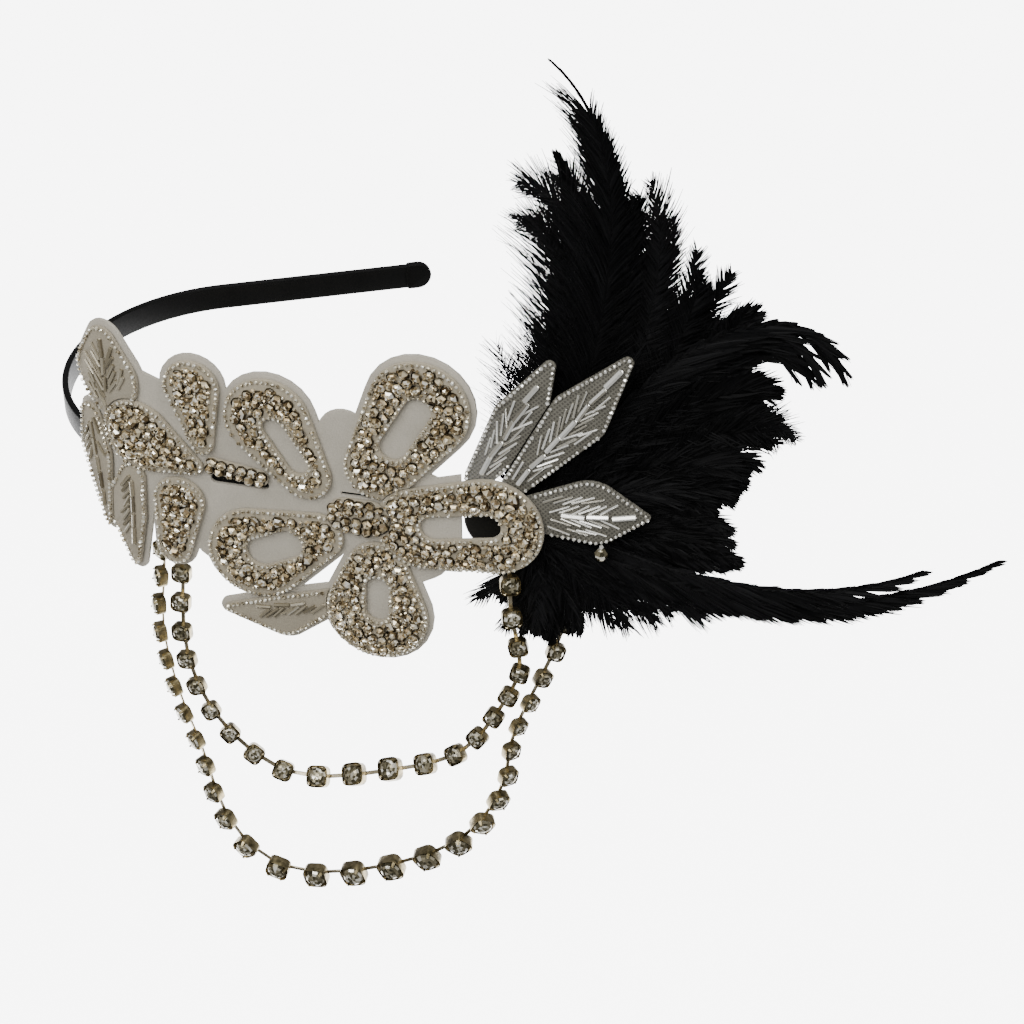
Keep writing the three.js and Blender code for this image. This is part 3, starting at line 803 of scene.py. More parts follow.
def softened(shape: bmesh.types.BMesh, offset: float, segments: int = 2) -> bmesh.types.BMesh:
    """Rounds the rims of a slab and cuts it where the crown bends.

    Args:
        shape: The slab, on the flat layout.
        offset: The width of the rounding.
        segments: The steps of the rounding.

    Returns:
        The same shape, rounded and cut.
    """
    bmesh.ops.dissolve_limit(
        shape, angle_limit=math.radians(1.0), verts=shape.verts, edges=shape.edges
    )
    rims = [
        edge for edge in shape.edges
        if len(edge.link_faces) == 2 and edge.calc_face_angle() > math.radians(60.0)
        and abs((edge.verts[0].co - edge.verts[1].co).z) < 1e-4
    ]
    bmesh.ops.bevel(
        shape, geom=rims, offset=offset, segments=segments, profile=0.5, affect="EDGES",
        clamp_overlap=True, material=-1,
    )
    cut_stations(shape)
    return shape


def cut_stations(shape: bmesh.types.BMesh, pitch: float = 3.0) -> None:
    """Cuts a flat shape across wherever the crown bends it.

    Args:
        shape: The shape, on the flat layout.
        pitch: The distance between the cuts.
    """
    reach = [vert.co.x for vert in shape.verts]
    first = max(min(reach), -SURFACE.crown_half)
    last = min(max(reach), SURFACE.crown_half)
    if last <= first:
        return
    for station in np.linspace(first, last, int((last - first) / pitch) + 2):
        bmesh.ops.bisect_plane(
            shape, geom=[*shape.verts, *shape.edges, *shape.faces], dist=1e-4,
            plane_co=(station, 0, 0), plane_no=(1, 0, 0),
        )
    bmesh.ops.triangulate(shape, faces=[face for face in shape.faces if len(face.verts) > 4])


def spun(angles: np.ndarray) -> np.ndarray:
    """Turning matrices about the outward axis."""
    cos, sin, zero, one = np.cos(angles), np.sin(angles), np.zeros_like(angles), np.ones_like(angles)
    return np.stack([cos, -sin, zero, sin, cos, zero, zero, zero, one], axis=1).reshape(-1, 3, 3)


def tilted(random: np.random.Generator, many: int, degrees: float) -> np.ndarray:
    """Small turning matrices about random axes in the layout's plane."""
    heading = random.uniform(0.0, math.tau, many)
    lean = np.radians(np.abs(random.normal(0.0, degrees, many)))
    side = spun(heading)
    cos, sin, zero, one = np.cos(lean), np.sin(lean), np.zeros(many), np.ones(many)
    about = np.stack([one, zero, zero, zero, cos, -sin, zero, sin, cos], axis=1).reshape(-1, 3, 3)
    return side @ about @ side.transpose(0, 2, 1)


class Stamp(Enum):
    """The small shapes that are repeated, each one unit wide: the number of sides, then
    the profile's rows of distance from the axis and height.

    A stone has a foot, a girdle, crown facets and a table; a shard is a smaller stone with
    a blunt point. A setting is a dished plate with a low rim. A chaton is the cup chain's
    stone, with two rows of crown facets. A bead is slightly flattened along its hole. A
    rod is a bugle bead that lies along the first axis. A drop is the loose faceted bead.
    """

    STONE = 8, ((0.0, -0.3), (0.4, -0.3), (0.5, -0.02), (0.5, 0.05), (0.38, 0.2), (0.25, 0.3), (0.0, 0.3))
    SHARD = 5, ((0.0, -0.3), (0.44, -0.3), (0.5, 0.0), (0.3, 0.22), (0.0, 0.34))
    SETTING = 8, ((0.0, -0.32), (0.5, -0.32), (0.62, -0.2), (0.58, -0.14), (0.48, -0.24), (0.0, -0.24))
    CHATON = 12, (
        (0.0, -0.1), (0.48, -0.1), (0.5, 0.0), (0.43, 0.1), (0.33, 0.17), (0.2, 0.2), (0.0, 0.2)
    )
    BEAD = 7, ((0.0, -0.36), (0.3, -0.36), (0.5, 0.0), (0.3, 0.36), (0.0, 0.36))
    ROD = 6, (
        (0.0, -0.47), (0.28, -0.47), (0.36, -0.5), (0.5, -0.49),
        (0.5, 0.49), (0.36, 0.5), (0.28, 0.47), (0.0, 0.47),
    )
    DROP = 8, ((0.0, -0.45), (0.3, -0.4), (0.5, -0.08), (0.5, 0.08), (0.3, 0.4), (0.0, 0.45))

    def form(self) -> Form:
        """The shape, spun from its profile."""
        sides, profile = self.value
        shape = turned(profile, sides)
        if self is Stamp.ROD:
            bmesh.ops.rotate(shape, verts=shape.verts, matrix=Matrix.Rotation(math.pi / 2, 3, "Y"))
        return Form.of(shape)


def facet_glints(random: np.random.Generator, spread: float) -> Callable[[int, int], np.ndarray]:
    """Face values that differ from facet to facet: painted glints and shade on glass, stain on metal.

    Args:
        random: Where the values come from.
        spread: How far a facet departs from its piece's own value.

    Returns:
        A maker of face values for copies and faces.
    """
    def made(many: int, faces: int) -> np.ndarray:
        """The values of some copies with some faces each."""
        own = random.uniform(0.0, 1.0, (many, 1))
        facet = random.uniform(0.0, 1.0, (many, faces))
        return own * (1.0 - spread) + facet * spread

    return made


# Bead work


@dataclass(frozen=True)
class Petal:
    """A petal or bud: a round lobe, a narrower foot and sometimes an opening between them.

    Bare is the width of plain felt between its edge beads and its stones.
    """

    name: str
    hub: Hub
    lobe: Share
    foot: Share
    opening: Share | None = None
    bare: float = 0.0

    @property
    def outline(self) -> Outline:
        """The petal's edge."""
        return Outline((self.hub.circle(*self.lobe), self.hub.circle(*self.foot)))

    @property
    def hole(self) -> Outline | None:
        """The opening's edge, where there is one."""
        if self.opening is None:
            return None
        start, end, round_share = self.opening
        (along, up, _), (far_along, far_up, _) = self.foot, self.lobe
        return Outline(tuple(
            self.hub.circle(along + share * (far_along - along), up + share * (far_up - up), round_share)
            for share in (start, end)
        ))


@dataclass(frozen=True)
class Leaf:
    """A leaf: foot, widest place and tip, and the columns of rods on each side of its vein."""

    name: str
    hub: Hub
    foot: Share
    belly: Share
    tip: Share
    columns: int = 1

    @property
    def outline(self) -> Outline:
        """The leaf's edge."""
        return Outline(tuple(self.hub.circle(*share) for share in (self.foot, self.belly, self.tip)))


@dataclass(frozen=True)
class RodStyle:
    """How a leaf's rods are made and laid; the vein's rods may be thicker.

    The vein starts and stops short of the leaf's ends. Gaps and inset keep the rods apart
    and inside the edge, and each column starts a little farther on than the one within it.
    """

    length: float
    width: float
    vein_width: float
    lean: float
    pitch: float
    vein_start: float = 2.0
    vein_stop: float = 4.0
    vein_pitch: float = 1.05
    vein_gap: float = 0.4
    column_gap: float = 0.6
    column_shift: float = 1.6
    stray: float = 0.2
    stray_turn: float = 0.11
    stray_size: tuple[float, float] = (0.86, 1.06)
    tilt: float = 3.0
    inset: float = 2.2
    clearance: float = 0.9
    seat: float = 0.45

    @property
    def spread(self) -> float:
        """How far across the leaf one leaning rod reaches."""
        return self.length * math.sin(math.radians(self.lean))


BUGLE_RODS = RodStyle(6.4, 1.25, 1.5, 30.0, 2.9)
SILVER_RODS = RodStyle(8.0, 0.8, 1.9, 20.0, 3.3)


@dataclass
class BeadWork:
    """The felt with its flower, buds and leaves, all beaded.

    Seats say how high a stone or bead sits as a share of its width, strays how much its
    size varies, and tilts how far askew it lies, in degrees. A fill is the small beads in
    the gaps between a motif's stones.
    """

    flower: Hub = FLOWER
    buds: Hub = BUDS
    felt_low: float = 0.7
    felt_thick: float = 1.2
    pad_low: float = 2.2
    pad_thick: float = 1.4
    leaf_thick: float = 1.2
    beside: float = 0.35
    felt_margin: float = 1.8
    felt_end: float = 190.0
    felt_end_up: float = 17.0
    felt_rim: float = 0.35
    pad_rim: float = 0.5
    slit_past: float = 1.0
    hole_past: float = 2.0
    stone_widths: tuple[float, ...] = (3.6, 3.0, 2.4, 1.9)
    stone_tries: int = 1900
    stone_nearness: float = 0.44
    stone_edge: float = 0.38
    stone_tilt: float = 15.0
    stone_stray: tuple[float, float] = (0.9, 1.1)
    stone_squeeze: tuple[float, float] = (0.78, 1.08)
    stone_seat: float = 0.26
    stone_rise: tuple[float, float] = (-0.1, 0.3)
    round_share: float = 0.5
    widest_shard: float = 2.0
    least_set: float = 2.8
    field_pitch: float = 1.02
    field_rows: tuple[float, float] = (0.5, 1.4)
    field_apart: float = 0.85
    fill_inset: float = 0.3
    fill_clear: float = 0.7
    fill_gap: float = 0.4
    fill_apart: float = 1.3
    fill_tilt: float = 26.0
    bead_width: float = 1.4
    bead_pitch: float = 1.85
    bead_tilt: float = 13.0
    bead_stray: tuple[float, float] = (0.82, 1.12)
    bead_seat: float = 0.42
    edge_inset: float = 0.75
    beads_lost: float = 0.05
    least_cloth: float = 10.0
    least_cloth_share: float = 0.31
    far_apart: float = 60.0
    seed: int = 11
    random: np.random.Generator = field(init=False)

    def __post_init__(self) -> None:
        """Fills the tables of motifs."""
        self.random = np.random.default_rng(self.seed)
        flower, buds = self.flower, self.buds
        self.centre = Outline((flower.circle(-0.1, -0.04, 0.15), flower.circle(0.09, -0.04, 0.15)))
        self.stem = Outline((buds.circle(0.2, 0.06, 0.1), buds.circle(0.72, -0.02, 0.1)))
        self.petals = [
            Petal("petal_right", flower, (1.0, 0.03, 0.4), (0.46, -0.07, 0.34), (0.2, 0.96, 0.1)),
            Petal(
                "petal_upper_right", flower, (0.48, 0.945, 0.38), (0.16, 0.4, 0.26), (0.36, 0.97, 0.1), 0.4
            ),
            Petal(
                "petal_upper_left", flower, (-0.67, 0.695, 0.335), (-0.4, 0.26, 0.2), (0.2, 0.85, 0.08), 1.4
            ),
            Petal(
                "petal_lower_left", flower, (-0.825, -0.49, 0.39), (-0.33, -0.26, 0.2), (0.5, 0.92, 0.12), 1.2
            ),
            Petal("petal_bottom", flower, (0.11, -0.89, 0.4), (0.13, -0.5, 0.25), (0.39, 0.94, 0.09)),
            Petal("bud_left", buds, (-0.64, 0.29, 0.42), (0.0, 0.02, 0.09), None, 0.5),
            Petal("bud_upper", buds, (0.03, 1.0, 0.31), (0.1, 0.32, 0.13), None, 1.0),
            Petal("bud_lower", buds, (-0.22, -0.44, 0.29), (-0.33, -1.08, 0.19), None, 1.0),
        ]
        self.felt_leaves = [
            Leaf("leaf_bottom", flower, (-0.26, -0.84, 0.1), (-0.65, -1.04, 0.18), (-1.09, -1.04, 0.035)),
            Leaf("leaf_upper_left", buds, (-0.95, 0.47, 0.1), (-0.98, 0.92, 0.41), (-0.98, 1.31, 0.2), 2),
            Leaf("leaf_lower_left", buds, (-1.28, 0.32, 0.16), (-1.26, -0.09, 0.235), (-1.17, -1.0, 0.05)),
            Leaf("leaf_lower_mid", buds, (-0.76, -0.25, 0.16), (-0.9, -0.72, 0.27), (-0.83, -1.38, 0.06)),
        ]
        self.net_leaves = [
            Leaf("leaf_right_low", flower, (1.3, 0.17, 0.15), (1.74, 0.25, 0.265), (2.14, 0.27, 0.03), 2),
            Leaf(
                "leaf_right_middle", flower, (1.16, 0.38, 0.09), (1.63, 1.02, 0.215), (1.965, 1.5, 0.045), 2
            ),
            Leaf("leaf_right_top", flower, (0.9, 0.42, 0.1), (1.2, 0.92, 0.2), (1.42, 1.4, 0.045)),
        ]
        self.patches = [
            (flower, (-0.55, 0.1), (0.45, 0.0), 0.4),
            (flower, (-1.0, 0.1), (-0.7, 0.1), 0.3),
            (flower, (-0.16, 0.4), (-0.1, 0.64), 0.2),
            (flower, (0.1, -0.5), (0.45, -0.3), 0.24),
            (flower, (-1.17, -0.3), (-1.15, -0.44), 0.19),
            (buds, (-0.9, 0.1), (0.3, 0.1), 0.62),
            (buds, (-0.7, 0.7), (0.2, 0.4), 0.4),
        ]
        self.slits = [
            (flower, (-1.12, 0.11), (-0.74, 0.11), 0.04),
            (flower, (-0.13, 0.13), (0.08, 0.13), 0.015),
        ]

    @property
    def felt_high(self) -> float:
        """The felt's top."""
        return self.felt_low + self.felt_thick

    @property
    def pad_high(self) -> float:
        """The petal pads' top."""
        return self.pad_low + self.pad_thick

    @staticmethod
    def strip(row: tuple[Hub, tuple[float, float], tuple[float, float], float]) -> Outline:
        """The outline of a patch or slit from its row."""
        hub, start, end, round_share = row
        return Outline((hub.circle(*start, round_share), hub.circle(*end, round_share)))

    def build(self) -> None:
        """Builds the felt and all that is sewn to it."""
        before: list[Outline] = [self.centre]
        self.stone_field("centre_cluster", self.centre, [], 3.4)
        for petal in self.petals:
            self.petal(petal, list(before))
            before.append(petal.outline)
        self.stone_field("stem_stones", self.stem, before, 3.3)
        before.append(self.stem)
        for leaf in self.felt_leaves:
            self.leaf(leaf, list(before), self.pad_low, Finishes.LEAF, Finishes.BUGLES, "bugles")
            before.append(leaf.outline)
        self.felt(before)
        nets: list[Outline] = []
        above = self.petals[0].outline
        for leaf in self.net_leaves:
            self.leaf(leaf, list(nets), self.felt_low, Finishes.NET, Finishes.SILVER, "net", above)
            nets.append(leaf.outline)

    def felt(self, motifs: Sequence[Outline]) -> None:
        """Makes the felt that carries the motifs.

        Args:
            motifs: The outlines that it follows, with a margin.
        """
        outlines = [outline.grown(self.felt_margin) for outline in motifs]
        outlines += [self.strip(row) for row in self.patches]
        sheets = [slab(outline, self.felt_low, self.felt_high, 24) for outline in outlines]
        sheet = combined(sheets[0], sheets[1:], "UNION")
        low, high = self.felt_low - self.slit_past, self.felt_high + self.slit_past
        cutters = [slab(self.strip(row), low, high, 12) for row in self.slits]
        beyond = bmesh.new()
        bmesh.ops.create_cube(beyond, size=1.0)
        bmesh.ops.scale(beyond, vec=(self.flower.reach, 2 * self.flower.reach, 6.0), verts=beyond.verts)
        shift = (self.felt_end + self.flower.reach / 2, self.felt_end_up - self.flower.reach, 1.0)
        bmesh.ops.translate(beyond, verts=beyond.verts, vec=shift)
        sheet = combined(sheet, [*cutters, beyond], "DIFFERENCE")
        piece = Piece("felt_sheet", Finishes.FELT, "felt", ("felt_backing",), Shading.ROUNDED)
        self.show_cloth(piece, softened(sheet, self.felt_rim))

    def show_cloth(self, piece: Piece, shape: bmesh.types.BMesh) -> None:
        """Shows a layer of felt or net.

        Args:
            piece: What it is called.
            shape: The layer on the flat layout.
        """
        area = sum(face.calc_area() for face in shape.faces if face.normal.z > 0.9)
        reach = np.array([vert.co[:2] for vert in shape.verts])
        wide, tall = (reach.max(axis=0) - reach.min(axis=0)).tolist()
        shown = piece.show(Form.of(shape))
        if min(wide, tall) >= self.least_cloth:
            area = max(area, self.least_cloth_share * wide * tall)
            area * MM * MM

    def pad(
        self, outline: Outline, hole: Outline | None, before: Sequence[Outline], low: float, high: float
    ) -> bmesh.types.BMesh:
        """A pad cut clear of the motifs before it, with soft rims.

        Args:
            outline: The pad's edge.
            hole: An opening in it.
            before: The motifs that it makes room for.
            low: Its underside.
            high: Its top.

        Returns:
            The pad on the flat layout.
        """
        near = [other.grown(self.beside) for other in before if self.meets(outline, other)]
        near += [hole] if hole else []
        cutters = [slab(other, low - self.hole_past, high + self.hole_past) for other in near]
        shape = slab(outline, low, high)
        return softened(combined(shape, cutters, "DIFFERENCE") if cutters else shape, self.pad_rim)

    def meets(self, first: Outline, second: Outline) -> bool:
        """Whether two outlines come near each other."""
        return any(
            math.hypot(a.along - b.along, a.up - b.up) < self.far_apart
            for a in first.circles
            for b in second.circles
        )

    def clear(self, points: np.ndarray, others: Sequence[Outline], margin: float) -> np.ndarray:
        """Which points keep a margin from other outlines."""
        free = np.ones(len(points), bool)
        for other in others:
            free &= ~other.grown(margin).holds(points)
        return free

    def petal(self, petal: Petal, before: list[Outline]) -> None:
        """Makes a petal: its pad, stones, loose beads and beaded edges.

        Args:
            petal: The petal's row.
            before: The motifs that it makes room for.
        """
        hole = petal.hole
        self.show_pad(petal.name, petal.outline, hole, before)
        avoided = before + ([hole.grown(self.bead_width)] if hole else [])
        self.stones(petal.name, petal.outline, avoided, self.edge_inset + self.bead_width / 2 + petal.bare)
        self.edge_beads(petal.name, petal.outline, hole, before, self.pad_high, Finishes.BEADS, "stones")

    def show_pad(
        self, name: str, outline: Outline, hole: Outline | None, before: Sequence[Outline]
    ) -> None:
        """Makes the felt pad under a petal, a bud or a field of stones.

        Args:
            name: The motif's node.
            outline: Its edge.
            hole: An opening in it.
            before: The motifs that it makes room for.
        """
        piece = Piece(f"{name}_pad", Finishes.PAD, "felt", (name,), Shading.ROUNDED)
        shape = self.pad(outline, hole, before, self.pad_low, self.pad_high)
        self.show_cloth(piece, shape)

    def stones(self, name: str, outline: Outline, avoided: Sequence[Outline], inset: float) -> None:
        """Packs an outline with stones, the largest first, with beads in the gaps.

        Args:
            name: The motif's name.
            outline: Its edge.
            avoided: Where no stone goes.
            inset: The distance from the edge to the outermost stones.
        """
        ring = outline.corners()
        spots, widths = np.empty((0, 2)), np.empty(0)
        for width in self.stone_widths:
            tries = self.random.uniform(ring.min(axis=0), ring.max(axis=0), (self.stone_tries, 2))
            tries = tries[outline.holds(tries, inset + width * self.stone_edge)]
            for spot in tries[self.clear(tries, avoided, width * self.stone_nearness)]:
                apart = np.hypot(*(spots - spot).T) - widths * self.stone_nearness
                if (apart >= width * self.stone_nearness).all():
                    spots, widths = np.vstack([spots, spot]), np.append(widths, width)
        self.set_stones(f"{name}_stones", spots, widths)
        loose = self.random.uniform(ring.min(axis=0), ring.max(axis=0), (self.stone_tries, 2))
        loose = loose[outline.holds(loose, inset + self.fill_inset)]
        loose = loose[self.clear(loose, avoided, self.fill_clear)]
        apart = np.linalg.norm(loose[:, None] - spots[None], axis=2) - widths * self.fill_gap
        loose = self.thinned(loose[apart.min(axis=1) > self.fill_gap], self.fill_apart)
        headings = self.random.uniform(0, math.tau, len(loose))
        self.set_beads(
            f"{name}_filling", loose, headings, self.pad_high, Finishes.STONES, "stones", self.fill_tilt
        )

    def thinned(self, spots: np.ndarray, apart: float) -> np.ndarray:
        """Points with those left out that come too near an earlier one."""
        kept: list[np.ndarray] = []
        for spot in spots:
            if all(np.hypot(*(spot - other)) >= apart for other in kept):
                kept.append(spot)
        return np.array(kept).reshape(-1, 2)

    def stone_field(self, name: str, outline: Outline, before: Sequence[Outline], width: float) -> None:
        """A small pad that is filled with stones.

        Args:
            name: The field's node.
            outline: Its edge.
            before: The motifs that it makes room for.
            width: The stones' width.
        """
        self.show_pad(name, outline, None, before)
        rows = [outline.grown(-width * depth) for depth in self.field_rows]
        spots = np.vstack([row.points_round(width * self.field_pitch)[0] for row in rows])
        spots = spots[self.clear(spots, before, width / 2)]
        spots = self.thinned(spots, width * self.field_apart)
        self.set_stones(f"{name}_stones", spots, np.full(len(spots), width))

    def set_stones(self, name: str, spots: np.ndarray, widths: np.ndarray) -> None:
        """Stones at given places, each a little askew; the larger ones have settings.

        Args:
            name: The piece's name.
            spots: Rows of along and up.
            widths: The stones' widths.
        """
        many = len(spots)
        turns = tilted(self.random, many, self.stone_tilt)
        turns = turns @ spun(self.random.uniform(0, math.tau, many))
        sizes = np.repeat(widths[:, None] * self.random.uniform(*self.stone_stray, (many, 1)), 3, axis=1)
        sizes[:, 0] *= self.random.uniform(*self.stone_squeeze, many)
        rise = self.random.uniform(*self.stone_rise, (many, 1))
        places = np.hstack([spots, self.pad_high + self.stone_seat * sizes[:, 1:2] + rise])
        round_ones = self.random.uniform(0.0, 1.0, many) < self.round_share
        round_ones &= widths > self.widest_shard
        forms = [
            stamp.form().repeated(places[chosen], turns[chosen], sizes[chosen], facet_glints(self.random, 0.8))
            for stamp, chosen in ((Stamp.STONE, round_ones), (Stamp.SHARD, ~round_ones))
        ]
        Piece(name, Finishes.STONES, "stones").show(Form.joined(forms))
        # Dark settings under the larger stones: partly aged metal, partly painted shadow between the stones.
        large = widths > self.least_set
        glints = facet_glints(self.random, 0.5)
        form = Stamp.SETTING.form().repeated(places[large], turns[large], sizes[large], glints)
        Piece(f"{name}_settings", Finishes.SETTING, "stones").show(form)

    def set_beads(
        self, name: str, spots: np.ndarray, headings: np.ndarray, floor: float, finish: Finishes,
        slot: str, tilt: float,
    ) -> None:
        """Seed beads at given places, their holes along given headings.

        Args:
            name: The piece's name.
            spots: Rows of along and up.
            headings: The heading of each bead's hole.
            floor: What they lie on.
            finish: Their finish.
            slot: Their slot name, which the piece keeps but nothing uses.
            tilt: How far askew they may be, in degrees.
        """
        many = len(spots)
        lying = np.array(Matrix.Rotation(math.pi / 2, 3, "Y"))
        turns = tilted(self.random, many, tilt) @ spun(headings) @ lying[None]
        widths = self.bead_width * self.random.uniform(*self.bead_stray, (many, 1))
        sizes = np.repeat(widths, 3, axis=1)
        places = np.hstack([spots, floor + self.bead_seat * sizes[:, :1]])
        form = Stamp.BEAD.form().repeated(places, turns, sizes, facet_glints(self.random, 0.6))
        Piece(name, finish, slot, shading=Shading.ROUNDED, crease=30.0).show(form)

    def edge_beads(
        self, name: str, outline: Outline, hole: Outline | None, before: Sequence[Outline], floor: float,
        finish: Finishes, slot: str,
    ) -> None:
        """The rows of seed beads along a motif's edge and round its opening.

        Args:
            name: The motif's node.
            outline: The motif's edge.
            hole: Its opening.
            before: The motifs that it makes room for.
            floor: What the beads lie on.
            finish: Their finish.
            slot: Their slot name, which the piece keeps but nothing uses.
        """
        lines = [outline.grown(-self.edge_inset)] + ([hole.grown(self.edge_inset)] if hole else [])
        rows = [line.points_round(self.bead_pitch) for line in lines]
        spots, headings = (np.concatenate(part) for part in zip(*rows))
        free = self.clear(spots, before, self.edge_inset)
        free &= self.random.uniform(0.0, 1.0, len(spots)) > self.beads_lost
        name = f"{name}_edge"
        self.set_beads(name, spots[free], headings[free], floor, finish, slot, self.bead_tilt)

    def leaf(
        self, leaf: Leaf, before: list[Outline], low: float, cloth: Finishes, rods: Finishes, slot: str,
        above: Outline | None = None,
    ) -> None:
        """Makes a leaf: its sheet, its vein and side rods, and its beaded edge.

        Args:
            leaf: The leaf's row.
            before: The motifs that it makes room for.
            low: Its underside.
            cloth: The sheet's finish.
            rods: The rods' finish.
            slot: The slot name, which the pieces keep but nothing uses.
            above: A motif that lies over the leaf's foot.
        """
        high = low + self.leaf_thick
        sheet = self.pad(leaf.outline, None, before, low, high)
        piece = Piece(f"{leaf.name}_sheet", cloth, slot, (leaf.name,), Shading.ROUNDED)
        self.show_cloth(piece, sheet)
        avoided = before + ([above] if above else [])
        self.rods(leaf, avoided, high, SILVER_RODS if above else BUGLE_RODS, rods, slot)
        beads = rods if above else Finishes.BEADS
        self.edge_beads(leaf.name, leaf.outline, None, avoided, high, beads, slot)

    def rods(
        self, leaf: Leaf, avoided: Sequence[Outline], high: float, style: RodStyle, finish: Finishes,
        slot: str,
    ) -> None:
        """A vein of rods from foot to tip, and rods laid herringbone beside it.

        Args:
            leaf: The leaf's row.
            avoided: Where no rod goes.
            high: What the rods lie on.
            style: The rods' sizes and lie.
            finish: Their finish.
            slot: Their slot name, which the piece keeps but nothing uses.
        """
        foot, _, tip = leaf.outline.circles
        start = np.array([foot.along, foot.up])
        run = np.array([tip.along, tip.up]) - start
        length = float(np.hypot(*run))
        ahead = run / length
        across = np.array([-ahead[1], ahead[0]])
        heading = math.atan2(ahead[1], ahead[0])
        rows = [
            (start + ahead * (walked + style.length / 2), heading, style.vein_width)
            for walked in np.arange(
                style.vein_start, length - style.vein_stop, style.length * style.vein_pitch
            )
        ]
        nearest = style.vein_width / 2 + style.spread / 2 + style.vein_gap
        for side in (-1, 1):
            for column in range(leaf.columns):
                offset = across * side * (nearest + (style.spread + style.column_gap) * column)
                for walked in np.arange(0.0, length, style.pitch):
                    middle = start + ahead * (walked + column * style.column_shift) + offset
                    rows.append((middle, heading + side * math.radians(style.lean), style.width))
        middles, angles, widths = (np.array(column) for column in zip(*rows))
        middles = middles + self.random.normal(0.0, style.stray, middles.shape)
        angles = angles + self.random.normal(0.0, style.stray_turn, len(rows))
        half = np.stack([np.cos(angles), np.sin(angles)], axis=1) * style.length / 2
        fits = np.ones(len(middles), bool)
        for end in (-1, 1):
            fits &= leaf.outline.holds(middles + end * half, style.inset)
            fits &= self.clear(middles + end * half, avoided, style.clearance)
        widths, many = widths[fits], int(fits.sum())
        sizes = np.stack([np.full(many, style.length), widths, widths], axis=1)
        sizes *= self.random.uniform(*style.stray_size, (many, 1))
        turns = tilted(self.random, many, style.tilt) @ spun(angles[fits])
        places = np.hstack([middles[fits], high + widths[:, None] * style.seat])
        form = Stamp.ROD.form().repeated(places, turns, sizes, facet_glints(self.random, 0.6))
        Piece(f"{leaf.name}_rods", finish, slot).show(form)


@dataclass
class Band:
    """The satin-wrapped band, with a thicker wrap at each end."""

    length: float = 346.0
    width: float = 10.0
    thick: float = 2.4
    rim: float = 0.75
    wrap_length: float = 9.0
    wrap_proud: float = 0.4
    wrap_corner: float = 1.0
    wrap_rim: float = 0.7
    crease: float = 50.0

    def build(self) -> None:
        """Builds the strip and its two end wraps."""
        half = self.width / 2
        reach = self.length / 2 - half
        ends = Outline((Circle(-reach, 0.0, half), Circle(reach, 0.0, half)))
        strip = softened(slab(ends, -self.thick, 0.0, 24), self.rim, 3)
        piece = Piece("satin_band", Finishes.SATIN, "satin", ("headband",), Shading.ROUNDED, self.crease)
        piece.show(Form.of(strip))
        for side, name in ((-1, "far"), (1, "near")):
            round_end = half + self.wrap_proud
            middle = side * (self.length / 2 - round_end)
            start = side * (self.length / 2 - self.wrap_length)
            edge = round_end - self.wrap_corner
            corners = [Circle(start, way * edge, self.wrap_corner) for way in (-1, 1)]
            outline = Outline((Circle(middle, 0.0, round_end), *corners))
            wrap = slab(outline, -self.thick - self.wrap_proud, self.wrap_proud, 24)
            piece = Piece(f"end_wrap_{name}", Finishes.WRAP, "satin", (), Shading.ROUNDED, self.crease)
            piece.show(Form.of(softened(wrap, self.wrap_rim, 3)))


@dataclass(frozen=True)
class RoutePoint:
    """A chosen point of a chain, with its stones' roll and its cups' size there."""

    along: float
    up: float
    out: float
    roll: float
    size: float


INNER_ROUTE = tuple(RoutePoint(*row) for row in (
    (86.5, -33.0, -0.2, 0, 1.0),
    (85.8, -45.0, 0.0, 0, 1.0),
    (85.0, -66.3, 2.5, 0, 1.0),
    (88.0, -88.1, 3.4, 0, 0.95),
    (98.4, -108.8, 3.6, -20, 0.95),
    (117.4, -124.1, 3.6, -35, 1.05),
    (131.0, -125.7, 3.6, -40, 1.18),
    (160.4, -116.8, 3.6, -45, 1.25),
    (187.5, -103.9, 3.6, -30, 1.05),
    (203.2, -80.8, 3.6, 0, 0.97),
    (211.2, -60.4, 4.0, 0, 0.97),
    (208.2, -41.0, 4.6, 25, 1.0),
    (206.5, -23.0, 1.3, 25, 1.0),
    (206.2, -16.5, 1.3, 25, 1.0),
))
OUTER_ROUTE = tuple(RoutePoint(*row) for row in (
    (78.0, -28.0, -0.3, 10, 1.0),
    (76.4, -37.0, -3.4, 10, 1.0),
    (75.0, -47.0, -3.6, 35, 1.0),
    (73.2, -62.0, -2.4, 38, 1.0),
    (73.2, -76.0, -1.5, 38, 1.0),
    (77.4, -101.4, -1.5, 30, 1.0),
    (85.1, -125.7, -1.5, 25, 1.02),
    (90.7, -151.6, -1.5, 20, 1.08),
    (96.7, -165.7, -1.5, 15, 1.2),
    (107.9, -177.2, -1.5, 10, 1.27),
    (124.3, -180.4, -1.5, 5, 1.3),
    (160.5, -168.4, -1.5, 5, 1.38),
    (188.2, -149.0, -1.5, 20, 1.28),
    (203.6, -121.0, -1.5, 45, 1.05),
    (207.2, -97.0, -2.2, 50, 0.92),
    (213.4, -79.6, -4.5, 45, 0.92),
    (221.3, -58.4, -9.8, 20, 0.95),
    (224.0, -43.0, -12.6, 0, 1.0),
    (223.5, -30.0, -12.4, 0, 1.0),
    (221.8, -21.5, -9.2, 0, 1.0),
    (221.0, -16.0, -8.6, 0, 1.0),
))


